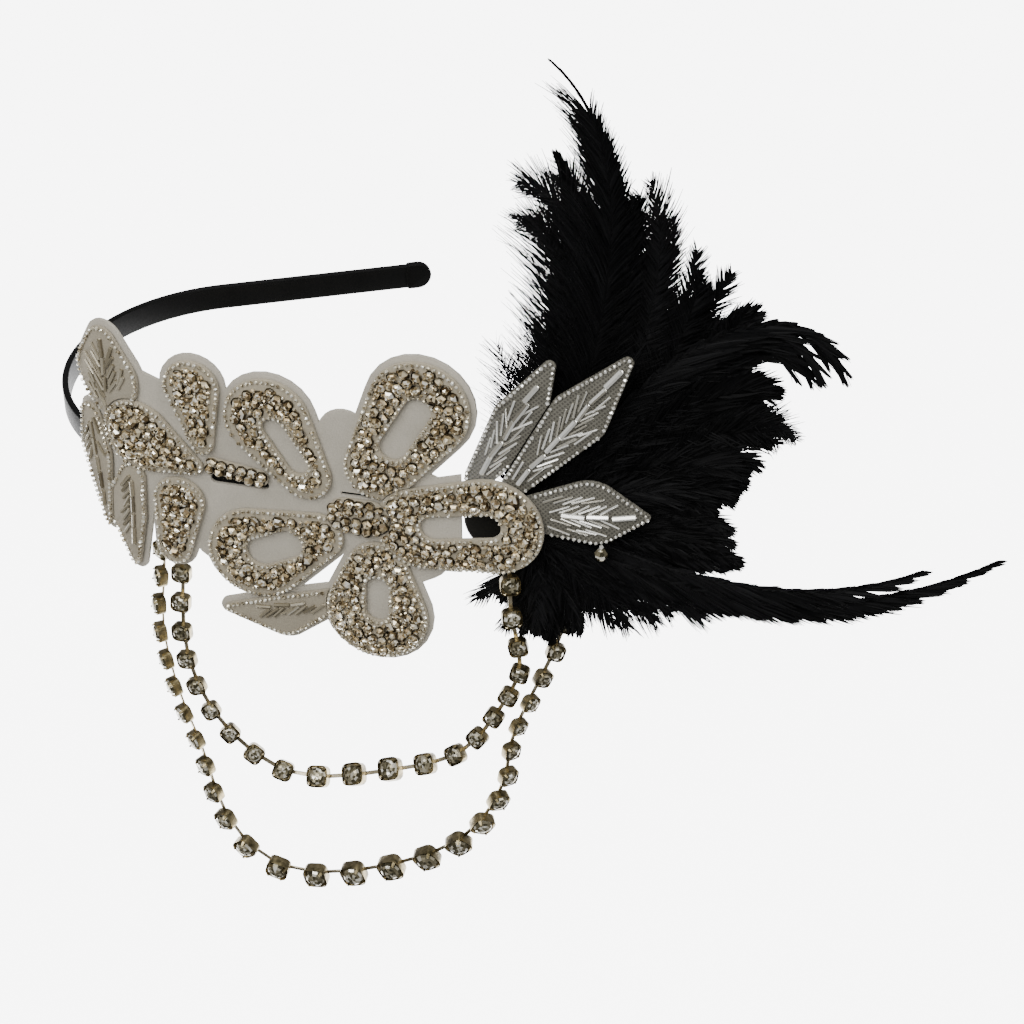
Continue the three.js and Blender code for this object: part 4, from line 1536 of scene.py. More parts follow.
class Route:
    """A smooth line through chosen points, measured by its length."""

    def __init__(self, points: Sequence[RoutePoint], samples: int = 40) -> None:
        """Samples the line.

        Args:
            points: The chosen points.
            samples: The steps between two of them.
        """
        keys = np.array([[p.along, p.up, p.out] for p in points])
        ends = np.vstack([2 * keys[0] - keys[1], keys, 2 * keys[-1] - keys[-2]])
        spots, values = [], []
        for index in range(len(keys) - 1):
            before, here, ahead, after = ends[index : index + 4]
            pairs = ((before, here), (here, ahead), (ahead, after))
            a, b, c = (math.sqrt(np.linalg.norm(end - start)) for start, end in pairs)
            leave = (here - before) / a - (ahead - before) / (a + b) + (ahead - here) / b
            arrive = (ahead - here) / b - (after - here) / (b + c) + (after - ahead) / c
            share = np.arange(samples)[:, None] / samples
            spots.append(self._hermite(here, ahead, leave * b, arrive * b, share))
            values.append(index + share[:, 0])
        self.spots = np.vstack([*spots, keys[-1:]])
        self.keys = np.append(np.concatenate(values), len(keys) - 1)
        steps = np.linalg.norm(np.diff(self.spots, axis=0), axis=1)
        self.walked = np.concatenate([[0.0], np.cumsum(steps)])
        self.rolls = np.array([p.roll for p in points])
        self.sizes = np.array([p.size for p in points])

    @staticmethod
    def _hermite(
        start: np.ndarray, end: np.ndarray, leave: np.ndarray, arrive: np.ndarray, share: np.ndarray
    ) -> np.ndarray:
        """Points of a cubic that leaves and arrives with given tangents."""
        square, cube = share**2, share**3
        return (
            start * (2 * cube - 3 * square + 1) + leave * (cube - 2 * square + share)
            + end * (3 * square - 2 * cube) + arrive * (cube - square)
        )

    @property
    def length(self) -> float:
        """The line's length."""
        return float(self.walked[-1])

    def at(self, distance: np.ndarray) -> np.ndarray:
        """The points at distances along the line."""
        return np.stack([np.interp(distance, self.walked, self.spots[:, axis]) for axis in range(3)], axis=1)

    def heading(self, distance: np.ndarray) -> np.ndarray:
        """The line's direction at distances along it."""
        run = self.at(distance + 0.5) - self.at(distance - 0.5)
        return run / np.linalg.norm(run, axis=1)[:, None]

    def value(self, column: np.ndarray, distance: np.ndarray) -> np.ndarray:
        """A column's value at distances along the line."""
        key = np.interp(distance, self.walked, self.keys)
        return np.interp(key, np.arange(len(column)), column)


@dataclass(frozen=True)
class Cup:
    """A square cup one unit wide with rounded corners, a hollow and four claws."""

    side: float = 0.98
    tall: float = 0.5
    corner: float = 0.27
    lip: float = 0.07
    hollow: float = 0.12
    claw_size: Spot = (0.1, 0.13, 0.24)
    claw_place: Spot = (0.47, 0.0, 0.28)
    claw_lean: float = 0.5
    claw_taper: float = 0.6

    def form(self) -> Form:
        """The cup's shape."""
        shape = bmesh.new()
        bmesh.ops.create_cube(shape, size=1.0)
        bmesh.ops.scale(shape, vec=(self.side, self.side, self.tall), verts=shape.verts)
        posts = [edge for edge in shape.edges if edge.verts[0].co.z * edge.verts[1].co.z < 0]
        rounding = {"profile": 0.5, "affect": "EDGES", "material": -1}
        bmesh.ops.bevel(shape, geom=posts, offset=self.corner, segments=3, **rounding)
        top = max(shape.faces, key=lambda face: face.calc_center_median().z)
        bmesh.ops.inset_region(shape, faces=[top], thickness=self.lip, depth=0.0)
        bmesh.ops.translate(shape, verts=top.verts, vec=(0.0, 0.0, -self.hollow))
        bottom = min(shape.faces, key=lambda face: face.calc_center_median().z)
        bmesh.ops.bevel(shape, geom=list(bottom.edges), offset=self.lip, segments=2, **rounding)
        lean = Matrix.Rotation(-self.claw_lean, 4, "Y")
        size = Matrix.Diagonal((*self.claw_size, 1.0))
        for quarter in range(4):
            turn = Matrix.Rotation(quarter * math.pi / 2 + math.pi / 4, 4, "Z")
            place = turn @ Matrix.Translation(self.claw_place) @ lean
            claw = bmesh.ops.create_cube(shape, size=1.0, matrix=place @ size)
            tips = [vert for vert in claw["verts"] if (place.inverted() @ vert.co).z > 0]
            taper = (self.claw_taper, self.claw_taper, 1.0)
            bmesh.ops.scale(shape, vec=taper, verts=tips, space=place.inverted())
        return Form.of(shape)


@dataclass
class CupChain:
    """A festoon of stones in square cups, joined by narrow strips.

    The stones' and strips' heights are shares of a cup's height, and the stones' width is
    a share of its width. The tail is the bare strip at each end.
    """

    name: str
    points: tuple[RoutePoint, ...]
    seed: int
    pitch: float = 12.2
    tail: float = 11.0
    cup_width: float = 7.0
    cup_tall: float = 3.6
    strip_width: float = 1.5
    strip_thick: float = 0.7
    strip_rim: float = 0.18
    strip_overlap: float = 0.4
    strip_height: float = 0.3
    stone_height: float = 0.42
    stone_width: float = 0.86

    def build(self) -> None:
        """Builds the cups, their stones and the strips between them."""
        random = np.random.default_rng(self.seed)
        route = Route(self.points)
        places = self.cup_places(route)
        spots = route.at(places)
        frames = self.frames(route, places)
        sizes = route.value(route.sizes, places)
        width = self.cup_width * sizes
        scale = np.repeat(width[:, None], 3, axis=1)
        cups = Cup().form().repeated(spots, frames, scale, facet_glints(random, 0.3))
        Piece(f"{self.name}_cups", Finishes.BRASS, "chain", (self.name,), Shading.ROUNDED, 30.0).show(cups)
        lifted = spots + frames[:, :, 2] * (self.cup_tall * self.stone_height * sizes)[:, None]
        glints = facet_glints(random, 0.85)
        stones = Stamp.CHATON.form().repeated(lifted, frames, scale * self.stone_width, glints)
        Piece(f"{self.name}_stones", Finishes.SMOKE, "chain").show(stones)
        self.strips(route, places, sizes)

    def cup_places(self, route: Route) -> np.ndarray:
        """Distances along the line at which the cups sit, farther apart where larger."""
        walk = np.linspace(self.tail, route.length - self.tail, 600)
        pitch = self.pitch * route.value(route.sizes, walk[1:])
        passed = np.concatenate([[0.0], np.cumsum(np.diff(walk) / pitch)])
        return np.interp(np.linspace(0.0, passed[-1], round(passed[-1]) + 1), passed, walk)

    def frames(self, route: Route, places: np.ndarray) -> np.ndarray:
        """A turning matrix at each place: along the chain, across it and out of the cup."""
        ahead = route.heading(places)
        face = np.array([0.0, 0.0, 1.0]) - ahead * ahead[:, 2:]
        face /= np.linalg.norm(face, axis=1)[:, None]
        roll = np.radians(route.value(route.rolls, places))[:, None]
        face = face * np.cos(roll) + np.cross(ahead, face) * np.sin(roll)
        return np.stack([ahead, np.cross(face, ahead), face], axis=2)

    def strips(self, route: Route, places: np.ndarray, sizes: np.ndarray) -> None:
        """The strips that run from cup to cup, and the bare ends.

        Args:
            route: The chain's line.
            places: Where the cups sit.
            sizes: The cups' sizes.
        """
        stops = np.concatenate([[0.0, self.tail / 2], places, [route.length - self.tail / 2, route.length]])
        spots = route.at(stops)
        frames = self.frames(route, stops)
        proud = np.interp(stops, places, sizes) * self.cup_tall * self.strip_height
        proud[[0, 1, -2, -1]] = 0.0
        spots = spots - frames[:, :, 2] * proud[:, None]
        shape = bmesh.new()
        for index, (start, end) in enumerate(zip(spots, spots[1:])):
            run = end - start
            ahead = run / np.linalg.norm(run)
            face = frames[index][:, 2] + frames[index + 1][:, 2]
            face -= ahead * float(face @ ahead)
            face /= np.linalg.norm(face)
            axes = np.stack([ahead, np.cross(face, ahead), face], axis=1)
            length = float(np.linalg.norm(run)) + self.strip_overlap
            place = Matrix.Translation((start + end) / 2) @ Matrix(axes.tolist()).to_4x4()
            size = Matrix.Diagonal((length, self.strip_width, self.strip_thick, 1.0))
            bmesh.ops.create_cube(shape, size=1.0, matrix=place @ size)
        bmesh.ops.bevel(
            shape, geom=list(shape.edges), offset=self.strip_rim, segments=1, profile=0.5,
            affect="EDGES", material=-1,
        )
        Piece(f"{self.name}_strips", Finishes.STEEL, "chain", (), Shading.ROUNDED).show(Form.of(shape))


@dataclass
class DropBead:
    """The loose bead on its thread, under the lowest leaf, with a seed bead over it.

    The three outs are how far each stands out from the middle of the leaf's thickness.
    """

    width: float = 4.6
    fall: float = 3.4
    shift: float = 3.6
    seat: float = 0.3
    out: float = 0.6
    thread: float = 0.5
    thread_out: float = 0.3
    seed_width: float = 1.7
    seed_fall: float = 0.6
    seed_out: float = 0.4
    seed: int = 5

    def build(self, work: BeadWork) -> None:
        """Builds the bead, the thread and the seed bead.

        Args:
            work: The bead work, whose lowest leaf carries it.
        """
        random = np.random.default_rng(self.seed)
        belly = work.net_leaves[0].outline.circles[1]
        edge = belly.up - belly.round - self.seat
        along = belly.along + self.shift
        middle = work.felt_low + work.leaf_thick / 2
        place = np.array([[along, edge - self.fall, middle + self.out]])
        upright = np.array(Matrix.Rotation(math.pi / 2, 3, "X"))[None]
        size = np.full((1, 3), self.width)
        bead = Stamp.DROP.form().repeated(place, upright, size, facet_glints(random, 0.9))
        Piece("drop_bead_stone", Finishes.SMOKE, "stones", ("drop_bead",)).show(bead)
        thread = bmesh.new()
        place = Matrix.Translation((along, edge - self.fall / 2, middle + self.thread_out))
        bmesh.ops.create_cone(
            thread, cap_ends=True, segments=6, radius1=self.thread / 2, radius2=self.thread / 2,
            depth=self.fall, matrix=place @ Matrix.Rotation(math.pi / 2, 4, "X"),
        )
        Piece("drop_bead_thread", Finishes.STEEL, "stones", (), Shading.ROUNDED).show(Form.of(thread))
        over = np.array([[along, edge - self.seed_fall, middle + self.seed_out]])
        size, flat = np.full((1, 3), self.seed_width), np.eye(3)[None]
        seed = Stamp.BEAD.form().repeated(over, flat, size, facet_glints(random, 0.4))
        Piece("drop_bead_seed", Finishes.SILVER, "stones", (), Shading.ROUNDED).show(seed)


# Feathers


@dataclass(frozen=True)
class Vane:
    """How a kind of feather grows its barbs; pairs are for its left and right side."""

    barb: tuple[float, float]
    base_angle: float
    tip_angle: float
    curl: float
    spacing: float
    barb_width: float
    ragged: float
    fluff: float
    clumps: int
    clumping: float
    fullest: float = 0.5
    bare: float = 0.01
    tip_width: float = 0.12


class Kind(Enum):
    """The kinds of feather in the plume."""

    BODY = Vane((12.0, 12.0), 40.0, 14.0, 12.0, 0.6, 1.5, 0.14, 1.2, 22, 0.3)
    WISP = Vane((21.0, 13.0), 50.0, 26.0, -8.0, 0.62, 0.42, 0.3, 3.0, 26, 0.35, 0.62)
    BROAD = Vane((17.0, 17.0), 34.0, 16.0, 12.0, 0.6, 1.8, 0.06, 1.0, 16, 0.12, 0.6)
    CREST = Vane((22.0, 10.0), 34.0, 16.0, -14.0, 0.45, 0.5, 0.22, 2.0, 30, 0.3, 0.5, 0.2)
    SPIKE = Vane((4.0, 4.0), 14.0, 7.0, 4.0, 0.4, 0.9, 0.08, 0.3, 20, 0.2, 0.4)
    CURLED = Vane((9.0, 14.0), 60.0, 30.0, 14.0, 0.5, 0.45, 0.25, 2.0, 24, 0.3, 0.75)
    SLOPE = Vane((10.0, 9.0), 46.0, 26.0, -6.0, 0.5, 0.6, 0.3, 2.2, 24, 0.45, 0.7)
    DROOP = Vane((4.5, 21.0), 26.0, 12.0, -6.0, 0.45, 1.0, 0.12, 1.2, 15, 0.85, 0.8)
    LONG = Vane((5.0, 19.0), 22.0, 10.0, -3.0, 0.45, 1.4, 0.14, 0.6, 14, 0.6, 0.42)
    FRINGE = Vane((12.0, 14.0), 38.0, 20.0, 10.0, 0.5, 0.6, 0.26, 1.6, 16, 0.5, 0.7)


@dataclass(frozen=True)
class Lock:
    """A lock of feathers. Its tip and the point that bends it are shares of the reach from
    the root, lean is how far back its tip lies as a share of the depth, and stray is how
    far its other feathers turn from the first, in degrees."""

    tip: tuple[float, float]
    bend: tuple[float, float]
    lean: float
    kind: Kind
    feathers: int
    stray: float = 4.0
    width: float = 1.0


LOCKS = (
    Lock((0.01, 0.93), (0.26, 0.76), -0.35, Kind.SPIKE, 1),
    Lock((0.01, 0.93), (0.26, 0.76), -0.36, Kind.CREST, 1),
    Lock((0.04, 0.87), (0.26, 0.72), -0.5, Kind.CREST, 3, 1.5),
    Lock((0.1, 0.78), (0.2, 0.59), -0.65, Kind.BODY, 5, 4.0),
    Lock((-0.05, 0.69), (0.18, 0.71), -0.45, Kind.CURLED, 2, 1.5),
    Lock((0.04, 0.72), (0.16, 0.55), -0.7, Kind.WISP, 3, 3.0),
    Lock((0.02, 0.64), (0.14, 0.46), -0.5, Kind.WISP, 3, 3.0),
    Lock((0.03, 0.55), (0.1, 0.38), -0.6, Kind.WISP, 3, 3.0),
    Lock((0.03, 0.47), (0.08, 0.3), -0.4, Kind.WISP, 3, 3.0),
    Lock((0.0, 0.4), (0.04, 0.24), -0.55, Kind.WISP, 3, 3.0, 0.9),
    Lock((-0.03, 0.33), (0.0, 0.18), -0.35, Kind.WISP, 3, 4.0, 0.8),
    Lock((0.08, 0.6), (0.13, 0.4), -0.75, Kind.BODY, 5, 4.0),
    Lock((0.1, 0.48), (0.1, 0.3), -0.6, Kind.BODY, 5, 5.0),
    Lock((0.05, 0.36), (0.07, 0.2), -0.45, Kind.BODY, 4, 5.0),
    Lock((0.16, 0.68), (0.2, 0.5), -0.6, Kind.SLOPE, 4, 3.0),
    Lock((0.19, 0.72), (0.29, 0.5), -0.45, Kind.CURLED, 2, 2.0, 0.9),
    Lock((0.23, 0.65), (0.26, 0.44), -0.6, Kind.SLOPE, 4, 3.0),
    Lock((0.28, 0.6), (0.27, 0.4), -0.45, Kind.SLOPE, 4, 3.0),
    Lock((0.34, 0.55), (0.29, 0.42), -0.65, Kind.SLOPE, 4, 3.0),
    Lock((0.2, 0.58), (0.18, 0.38), -0.7, Kind.BROAD, 5, 4.0),
    Lock((0.29, 0.5), (0.24, 0.34), -0.8, Kind.BROAD, 5, 4.0),
    Lock((0.55, 0.4), (0.39, 0.68), -0.45, Kind.DROOP, 3, 1.5),
    Lock((0.51, 0.42), (0.37, 0.62), -0.6, Kind.DROOP, 3, 2.0),
    Lock((0.38, 0.47), (0.3, 0.42), -0.7, Kind.BROAD, 4, 3.0),
    Lock((0.42, 0.4), (0.3, 0.42), -0.6, Kind.BROAD, 5, 3.0),
    Lock((0.43, 0.33), (0.3, 0.38), -0.5, Kind.BROAD, 5, 3.0),
    Lock((0.43, 0.26), (0.3, 0.32), -0.65, Kind.BROAD, 5, 3.0),
    Lock((0.48, 0.24), (0.36, 0.36), -0.4, Kind.SLOPE, 4, 1.5),
    Lock((0.41, 0.18), (0.27, 0.25), -0.35, Kind.BROAD, 6, 2.0, 0.9),
    Lock((0.38, 0.13), (0.24, 0.2), -0.4, Kind.BROAD, 5, 2.0, 0.9),
    Lock((0.34, 0.08), (0.22, 0.16), -0.3, Kind.BROAD, 5, 2.0, 0.8),
    Lock((0.29, 0.02), (0.18, 0.09), -0.25, Kind.BROAD, 5, 2.0, 0.6),
    Lock((0.87, 0.05), (0.51, -0.22), -0.2, Kind.LONG, 1),
    Lock((0.8, -0.01), (0.5, -0.2), -0.22, Kind.LONG, 2, 0.3),
    Lock((0.72, -0.06), (0.48, -0.17), -0.25, Kind.LONG, 3, 0.5),
    Lock((0.58, -0.11), (0.38, -0.13), -0.2, Kind.LONG, 4, 1.0),
    Lock((0.42, -0.12), (0.28, -0.08), -0.2, Kind.LONG, 4, 2.0),
    Lock((0.33, -0.17), (0.24, -0.1), -0.15, Kind.FRINGE, 4, 3.0, 0.9),
    Lock((0.24, -0.19), (0.17, -0.11), -0.15, Kind.FRINGE, 4, 4.0, 0.9),
    Lock((0.16, -0.21), (0.11, -0.12), -0.12, Kind.FRINGE, 4, 4.0, 0.8),
    Lock((0.09, -0.24), (0.07, -0.14), -0.1, Kind.BODY, 4, 5.0, 0.8),
    Lock((0.02, -0.26), (0.03, -0.15), -0.1, Kind.BODY, 4, 5.0, 0.8),
    Lock((0.03, -0.3), (0.05, -0.16), -0.3, Kind.BODY, 5, 5.0, 0.9),
    Lock((-0.03, -0.28), (0.01, -0.16), -0.3, Kind.BODY, 4, 5.0, 0.9),
    Lock((0.12, -0.17), (0.07, -0.09), -0.3, Kind.BROAD, 4, 5.0, 0.7),
    Lock((0.21, -0.13), (0.11, -0.06), -0.3, Kind.BROAD, 4, 5.0, 0.7),
    Lock((0.3, -0.1), (0.18, -0.04), -0.35, Kind.BROAD, 4, 4.0, 0.7),
    Lock((0.39, -0.05), (0.23, 0.01), -0.35, Kind.BROAD, 4, 4.0, 0.7),
    Lock((0.37, 0.03), (0.23, 0.1), -0.35, Kind.BROAD, 4, 2.0, 0.8),
    Lock((0.35, -0.02), (0.21, 0.04), -0.3, Kind.BROAD, 4, 2.0, 0.8),
    Lock((0.33, -0.06), (0.2, -0.01), -0.3, Kind.BROAD, 4, 2.0, 0.8),
    Lock((-0.07, -0.2), (-0.02, -0.11), -0.2, Kind.BODY, 3, 4.0, 0.6),
    Lock((-0.03, -0.25), (-0.01, -0.14), -0.2, Kind.BODY, 3, 4.0, 0.6),
    Lock((-0.08, 0.37), (-0.01, 0.2), -0.3, Kind.WISP, 2, 3.0, 0.7),
    Lock((-0.07, 0.19), (-0.05, 0.09), -0.12, Kind.BODY, 3, 4.0, 0.6),
    Lock((-0.06, -0.26), (-0.01, -0.15), -0.12, Kind.FRINGE, 3, 5.0, 0.7),
    Lock((-0.12, -0.2), (-0.04, -0.12), -0.15, Kind.FRINGE, 3, 5.0, 0.7),
)


@dataclass
class Plume:
    """The plume of black feathers and the bound pad that holds their quills.

    The strays are how much the feathers of a lock, and the barbs of a feather, differ from
    each other. Swells are a barb's length at the quill's root and tip, as shares of the
    longest barb's, where 1 is at the fullest place.
    """

    hub: Hub = FLOWER
    root_share: tuple[float, float] = (1.29, -0.03)
    root_out: float = -3.9
    reach: float = 175.0
    depth: float = 20.0
    droop: float = 1.4
    pad_high: float = -4.4
    pad_low: float = -7.6
    front: float = 0.3
    barb_steps: int = 3
    shaft_steps: int = 12
    quill: float = 1.1
    quill_taper: float = 0.85
    quill_end: float = 0.99
    quill_bow: float = 0.8
    first_barb: float = 0.12
    barbed_share: float = 0.86
    least_barbs: int = 12
    root_swell: float = 0.45
    tip_swell: float = 0.25
    ribbon_taper: float = 0.8
    stray_size: tuple[float, float] = (0.02, 0.22)
    stray_root: float = 3.0
    stray_lean: float = 0.09
    stray_share: float = 0.004
    stray_angle: float = 0.07
    stray_roll: float = 0.45
    stray_tint: float = 0.15
    locks_per_piece: int = 8
    seed: int = 29
    random: np.random.Generator = field(init=False)

    def __post_init__(self) -> None:
        """Starts the plume's own random draws."""
        self.random = np.random.default_rng(self.seed)

    @property
    def root(self) -> np.ndarray:
        """Where the quills meet, along and up."""
        return np.array([self.hub.along, self.hub.up]) + np.array(self.root_share) * self.hub.reach

    def build(self) -> None:
        """Builds the pad, then the feathers a few locks at a time."""
        pad = Outline((self.hub.circle(1.02, -0.04, 0.27), self.hub.circle(1.36, -0.01, 0.27)))
        form = Form.of(softened(slab(pad, self.pad_low, self.pad_high), 1.2, 3))
        Piece("plume_pad", Finishes.WRAP, "feather", ("feather_plume",), Shading.ROUNDED, 60.0).show(form)
        for first in range(0, len(LOCKS), self.locks_per_piece):
            group = LOCKS[first : first + self.locks_per_piece]
            feathers = [form for lock in group for form in self.lock(lock)]
            name = f"plume_feathers_{first // self.locks_per_piece + 1}"
            Piece(name, Finishes.FEATHERS, "feather").show(Form.joined(feathers))

    def lock(self, lock: Lock) -> list[Form]:
        """The feathers of a lock; the first keeps its line, the others stray from it.

        Args:
            lock: The lock's row.

        Returns:
            The feathers' forms.
        """
        forms = []
        for index in range(lock.feathers):
            stray = min(index, 1)
            turn = stray * self.random.normal(0.0, math.radians(lock.stray))
            shrink = 1.0 - stray * self.random.uniform(*self.stray_size)
            cos, sin = math.cos(turn), math.sin(turn)
            turned_by = np.array([[cos, sin], [-sin, cos]]) * self.reach * shrink
            start = self.root + stray * self.random.normal(0.0, self.stray_root, 2)
            lean = lock.lean + stray * self.random.normal(0.0, self.stray_lean)
            tip, bend = (start + np.array(share) @ turned_by for share in (lock.tip, lock.bend))
            forms.append(self.feather(start, bend, tip, lean, lock.width, lock.kind.value))
        return forms

    def feather(
        self, start: np.ndarray, bend: np.ndarray, tip: np.ndarray, lean: float, width: float, vane: Vane
    ) -> Form:
        """One feather: a bowed quill with barbs down both sides.

        Args:
            start: The quill's root, along and up.
            bend: The point that draws the quill's middle to it.
            tip: The quill's tip.
            lean: How far back the tip lies, as a share of the plume's depth.
            width: The barbs' length as a share of their kind's.
            vane: How the barbs grow.

        Returns:
            The feather on the flat layout.
        """
        length = float(np.hypot(*(bend - start)) + np.hypot(*(tip - bend)))
        tint = self.random.uniform(0.0, 1.0)
        bow = self.random.normal(0.0, self.quill_bow)

        def spine(share: np.ndarray) -> tuple[np.ndarray, np.ndarray]:
            """Points and headings of the quill."""
            share = share[:, None]
            spot = start * (1 - share) ** 2 + bend * 2 * share * (1 - share) + tip * share**2
            ahead = (bend - start) * (1 - share) + (tip - bend) * share
            ahead /= np.linalg.norm(ahead, axis=1)[:, None]
            back = lean * self.depth * share**self.droop
            return np.hstack([spot, self.root_out + back + bow * np.sin(share * math.pi)]), ahead

        forms = [self.shaft(spine, tint)]
        many = max(self.least_barbs, int(length * self.barbed_share / vane.spacing))
        shares = np.linspace(self.first_barb, 1.0 - vane.bare, many)
        for side, barb in zip((1, -1), vane.barb):
            forms.append(self.barbs(spine, shares, side, width * barb, vane, tint))
        return Form.joined(forms)

    def shaft(self, spine: Callable, tint: float) -> Form:
        """The quill: a three-sided taper.

        Args:
            spine: Gives points and headings of the quill.
            tint: The feather's own shade.

        Returns:
            The quill's form.
        """
        shares = np.linspace(0.0, self.quill_end, self.shaft_steps)
        spots, ahead = spine(shares)
        across = np.stack([-ahead[:, 1], ahead[:, 0], np.zeros(len(ahead))], axis=1)
        half = (self.quill / 2 * (1 - shares * self.quill_taper))[:, None]
        lift = np.array([[0.0, 0.0, 1.0]])
        sides = [spots + across * half, spots + lift * half, spots - across * half]
        points = np.stack(sides, axis=1)
        points[..., 2] = np.minimum(points[..., 2], self.front)
        ring = np.arange(self.shaft_steps - 1)[:, None] * 3
        quads = [
            np.stack([ring + a, ring + b, ring + 3 + b, ring + 3 + a], axis=-1)
            for a, b in ((1, 0), (2, 1), (0, 2))
        ]
        faces = np.concatenate(quads).reshape(-1, 4)
        counts = np.full(len(faces), 4)
        return Form(points.reshape(-1, 3), faces.reshape(-1), counts, np.full(len(faces), tint))

    def barbs(
        self, spine: Callable, shares: np.ndarray, side: int, barb: float, vane: Vane, tint: float
    ) -> Form:
        """The barbs on one side of a quill, each a narrow ribbon.

        Args:
            spine: Gives points and headings of the quill.
            shares: Where the barbs grow.
            side: 1 for the left side and -1 for the right.
            barb: The length of its longest barbs, about.
            vane: How the barbs grow.
            tint: The feather's own shade.

        Returns:
            The ribbons as one form.
        """
        many, steps = len(shares), self.barb_steps
        shares = np.clip(shares + self.random.normal(0.0, self.stray_share, many), 0.05, 0.995)
        spots, ahead = spine(shares)
        across = np.stack([-ahead[:, 1], ahead[:, 0]], axis=1) * side
        rising = np.sin(shares / vane.fullest * math.pi / 2)
        falling = np.cos((shares - vane.fullest) / (1 - vane.fullest) * math.pi / 2)
        swell = np.where(
            shares < vane.fullest,
            self.root_swell + (1 - self.root_swell) * rising,
            self.tip_swell + (1 - self.tip_swell) * falling,
        )
        reach = barb * swell * (1.0 + self.random.normal(0.0, vane.ragged, many))
        angle = np.radians(vane.base_angle + (vane.tip_angle - vane.base_angle) * shares)
        angle += self.random.normal(0.0, self.stray_angle, many)
        path = np.zeros((many, steps + 1, 3))
        path[:, 0] = spots
        raised = self.random.normal(0.0, vane.fluff, many)
        for step in range(1, steps + 1):
            bend = angle - math.radians(vane.curl) * (step - 1) / steps
            flat = ahead * np.cos(bend)[:, None] + across * np.sin(bend)[:, None]
            path[:, step, :2] = path[:, step - 1, :2] + flat * (reach / steps)[:, None]
            path[:, step, 2] = spots[:, 2] + raised * (step / steps) ** 1.5
        self.clump(path, shares, vane)
        return self.ribbons(path, vane, tint)

    def clump(self, path: np.ndarray, shares: np.ndarray, vane: Vane) -> None:
        """Draws the tips of neighbouring barbs together.

        Args:
            path: The barbs' points, changed in place.
            shares: Where the barbs grow.
            vane: How the barbs grow.
        """
        phase = self.random.uniform(0.0, 1.0)
        group = np.floor(shares * vane.clumps + phase).astype(int)
        weight = (np.linspace(0.0, 1.0, path.shape[1]) ** 2 * vane.clumping)[None, :, None]
        for number in np.unique(group):
            members = group == number
            tips = path[members, -1:]
            path[members] += (tips.mean(axis=0, keepdims=True) - tips) * weight

    def ribbons(self, path: np.ndarray, vane: Vane, tint: float) -> Form:
        """Tapering ribbons along given paths.

        Args:
            path: Points of each ribbon.
            vane: How wide they are at the root and at the tip.
            tint: The feather's own shade.

        Returns:
            The ribbons as one form.
        """
        many, rows = path.shape[:2]
        run = path[:, -1] - path[:, 0]
        run /= np.maximum(np.linalg.norm(run, axis=1), 1e-6)[:, None]
        across = np.stack([-run[:, 1], run[:, 0], np.zeros(many)], axis=1)
        roll = self.random.normal(0.0, self.stray_roll, many)[:, None]
        lift = np.cross(run, across)
        side = across * np.cos(roll) + lift * np.sin(roll)
        taper = (1.0 - np.linspace(0.0, 1.0, rows)) ** self.ribbon_taper
        half = (vane.tip_width + (vane.barb_width - vane.tip_width) * taper) / 2
        offset = side[:, None, :] * half[None, :, None]
        points = np.stack([path - offset, path + offset], axis=2)
        points[..., 2] = np.minimum(points[..., 2], self.front)
        first = (np.arange(many)[:, None] * rows + np.arange(rows - 1)[None]) * 2
        faces = np.stack([first, first + 1, first + 3, first + 2], axis=-1).reshape(-1, 4)
        shade = np.clip(tint + self.random.normal(0.0, self.stray_tint, many), 0, 1)
        shade = np.repeat(shade, rows - 1)
        return Form(points.reshape(-1, 3), faces.reshape(-1), np.full(len(faces), 4), shade)


# The studio


@dataclass(frozen=True)
class Lamp:
    """A square light: where it hangs, the length of its side in metres and its watts."""

    name: str
    place: Spot
    size: float
    power: float


LAMPS = (
    Lamp("key_light", (-0.6, -1.1, 1.2), 1.0, 22.0),
    Lamp("fill_light", (1.3, -0.9, 0.7), 0.8, 5.0),
    Lamp("top_light", (0.2, 0.3, 1.6), 1.2, 9.0),
    Lamp("left_spark", (-1.0, -1.2, 0.2), 0.25, 1.5),
    Lamp("right_spark", (0.9, -1.3, 0.9), 0.25, 1.5),
    Lamp("high_spark", (0.1, -0.7, 1.5), 0.25, 1.0),
    Lamp("front_spark", (0.06, -0.68, 0.5), 0.16, 1.3),
)


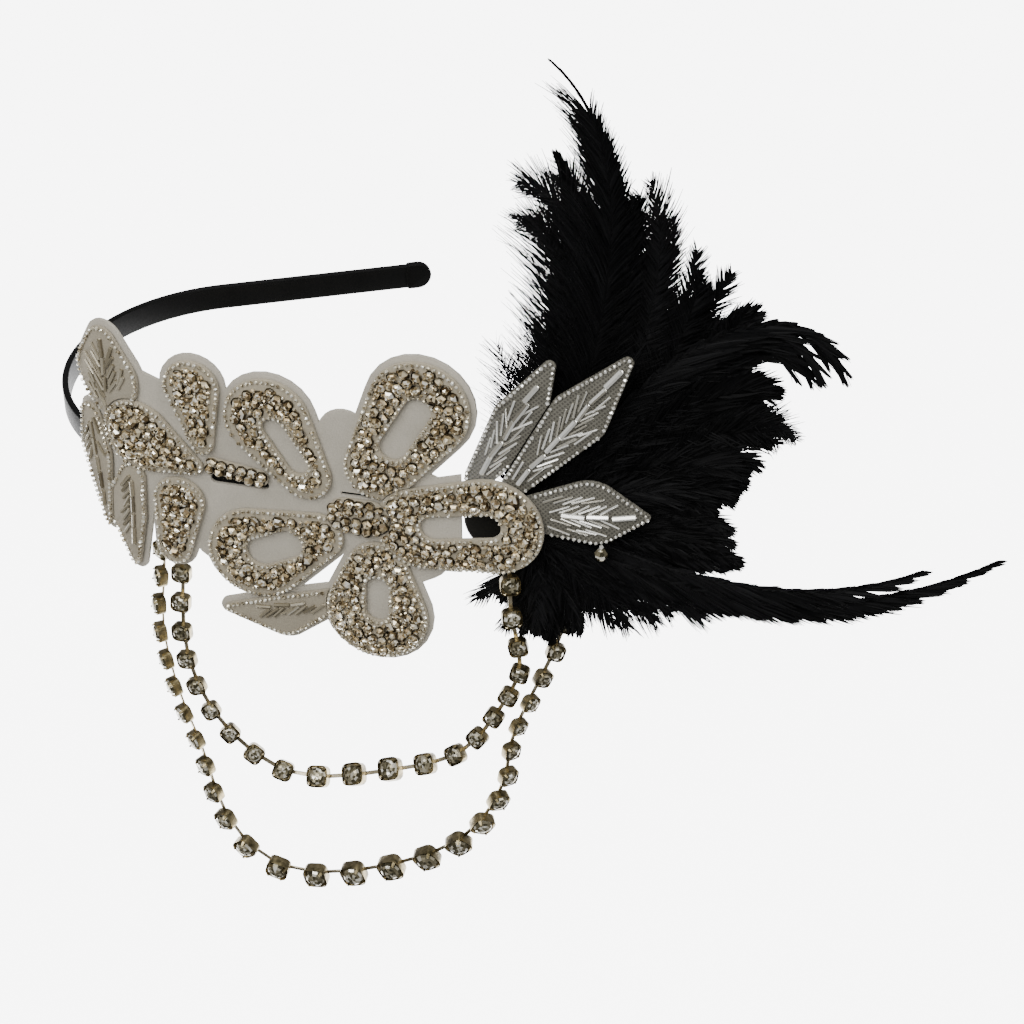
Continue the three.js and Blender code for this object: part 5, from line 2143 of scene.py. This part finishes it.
@dataclass(frozen=True)
class Studio:
    """The floor, the lights and the camera at the photograph's angle."""

    camera_place: Spot = (0.0977, -0.6917, 0.3891)
    camera_target: Spot = (0.09769, -0.02743, -0.04224)
    lens: float = 75.18
    sensor: float = 36.0
    floor_drop: float = 0.8
    floor_middle: tuple[float, float] = (0.1, 1.9)
    floor_size: float = 3.8
    even_light: float = 0.28

    def build(self) -> None:
        """Builds the camera, the floor and the lights."""
        self.camera()
        self.floor()
        self.world()
        for lamp in LAMPS:
            self.light(lamp)

    def camera(self) -> None:
        """Places the camera."""
        data = bpy.data.cameras.new("camera")
        data.lens = self.lens
        data.sensor_width = self.sensor
        camera = bpy.data.objects.new("camera", data)
        camera.location = self.camera_place
        camera.rotation_euler = self.aim(self.camera_place)
        bpy.context.scene.collection.objects.link(camera)
        bpy.context.scene.camera = camera

    def floor(self) -> None:
        """Lays the floor well below and behind the model, where it fills the background."""
        shape = bmesh.new()
        place = Matrix.Translation((*self.floor_middle, cad_low.z - self.floor_drop))
        bmesh.ops.create_grid(shape, x_segments=4, y_segments=4, size=self.floor_size / 2, matrix=place)
        mesh = bpy.data.meshes.new("floor")
        shape.to_mesh(mesh)
        shape.free()
        mesh.materials.append(Finishes.FLOOR.value.material())
        floor = bpy.data.objects.new("floor", mesh)
        bpy.context.scene.collection.objects.link(floor)

    def world(self) -> None:
        """Fills the room with even light."""
        world = bpy.data.worlds.new("studio")
        world.use_nodes = True
        background = world.node_tree.nodes["Background"]
        background.inputs["Color"].default_value = (1.0, 1.0, 1.0, 1.0)
        background.inputs["Strength"].default_value = self.even_light
        bpy.context.scene.world = world

    def light(self, lamp: Lamp) -> None:
        """Adds a soft square light that looks at the model.

        Args:
            lamp: The light's row.
        """
        data = bpy.data.lights.new(lamp.name, "AREA")
        data.size = lamp.size
        data.energy = lamp.power
        light = bpy.data.objects.new(lamp.name, data)
        light.location = lamp.place
        light.rotation_euler = self.aim(lamp.place)
        bpy.context.scene.collection.objects.link(light)

    def aim(self, place: Spot) -> Euler:
        """The turn that points a camera or light from a place to the model."""
        return (Vector(self.camera_target) - Vector(place)).to_track_quat("-Z", "Y").to_euler()


def main() -> None:
    """Builds the parts in order and reports each."""
    logging.basicConfig(level=logging.INFO, format="%(name)s %(message)s")
    Studio().build()
    Band().build()
    work = BeadWork()
    work.build()
    DropBead().build(work)
    CupChain("chain_inner", INNER_ROUTE, 3).build()
    CupChain("chain_outer", OUTER_ROUTE, 4).build()
    Plume().build()


if __name__ == "__main__":
    main()
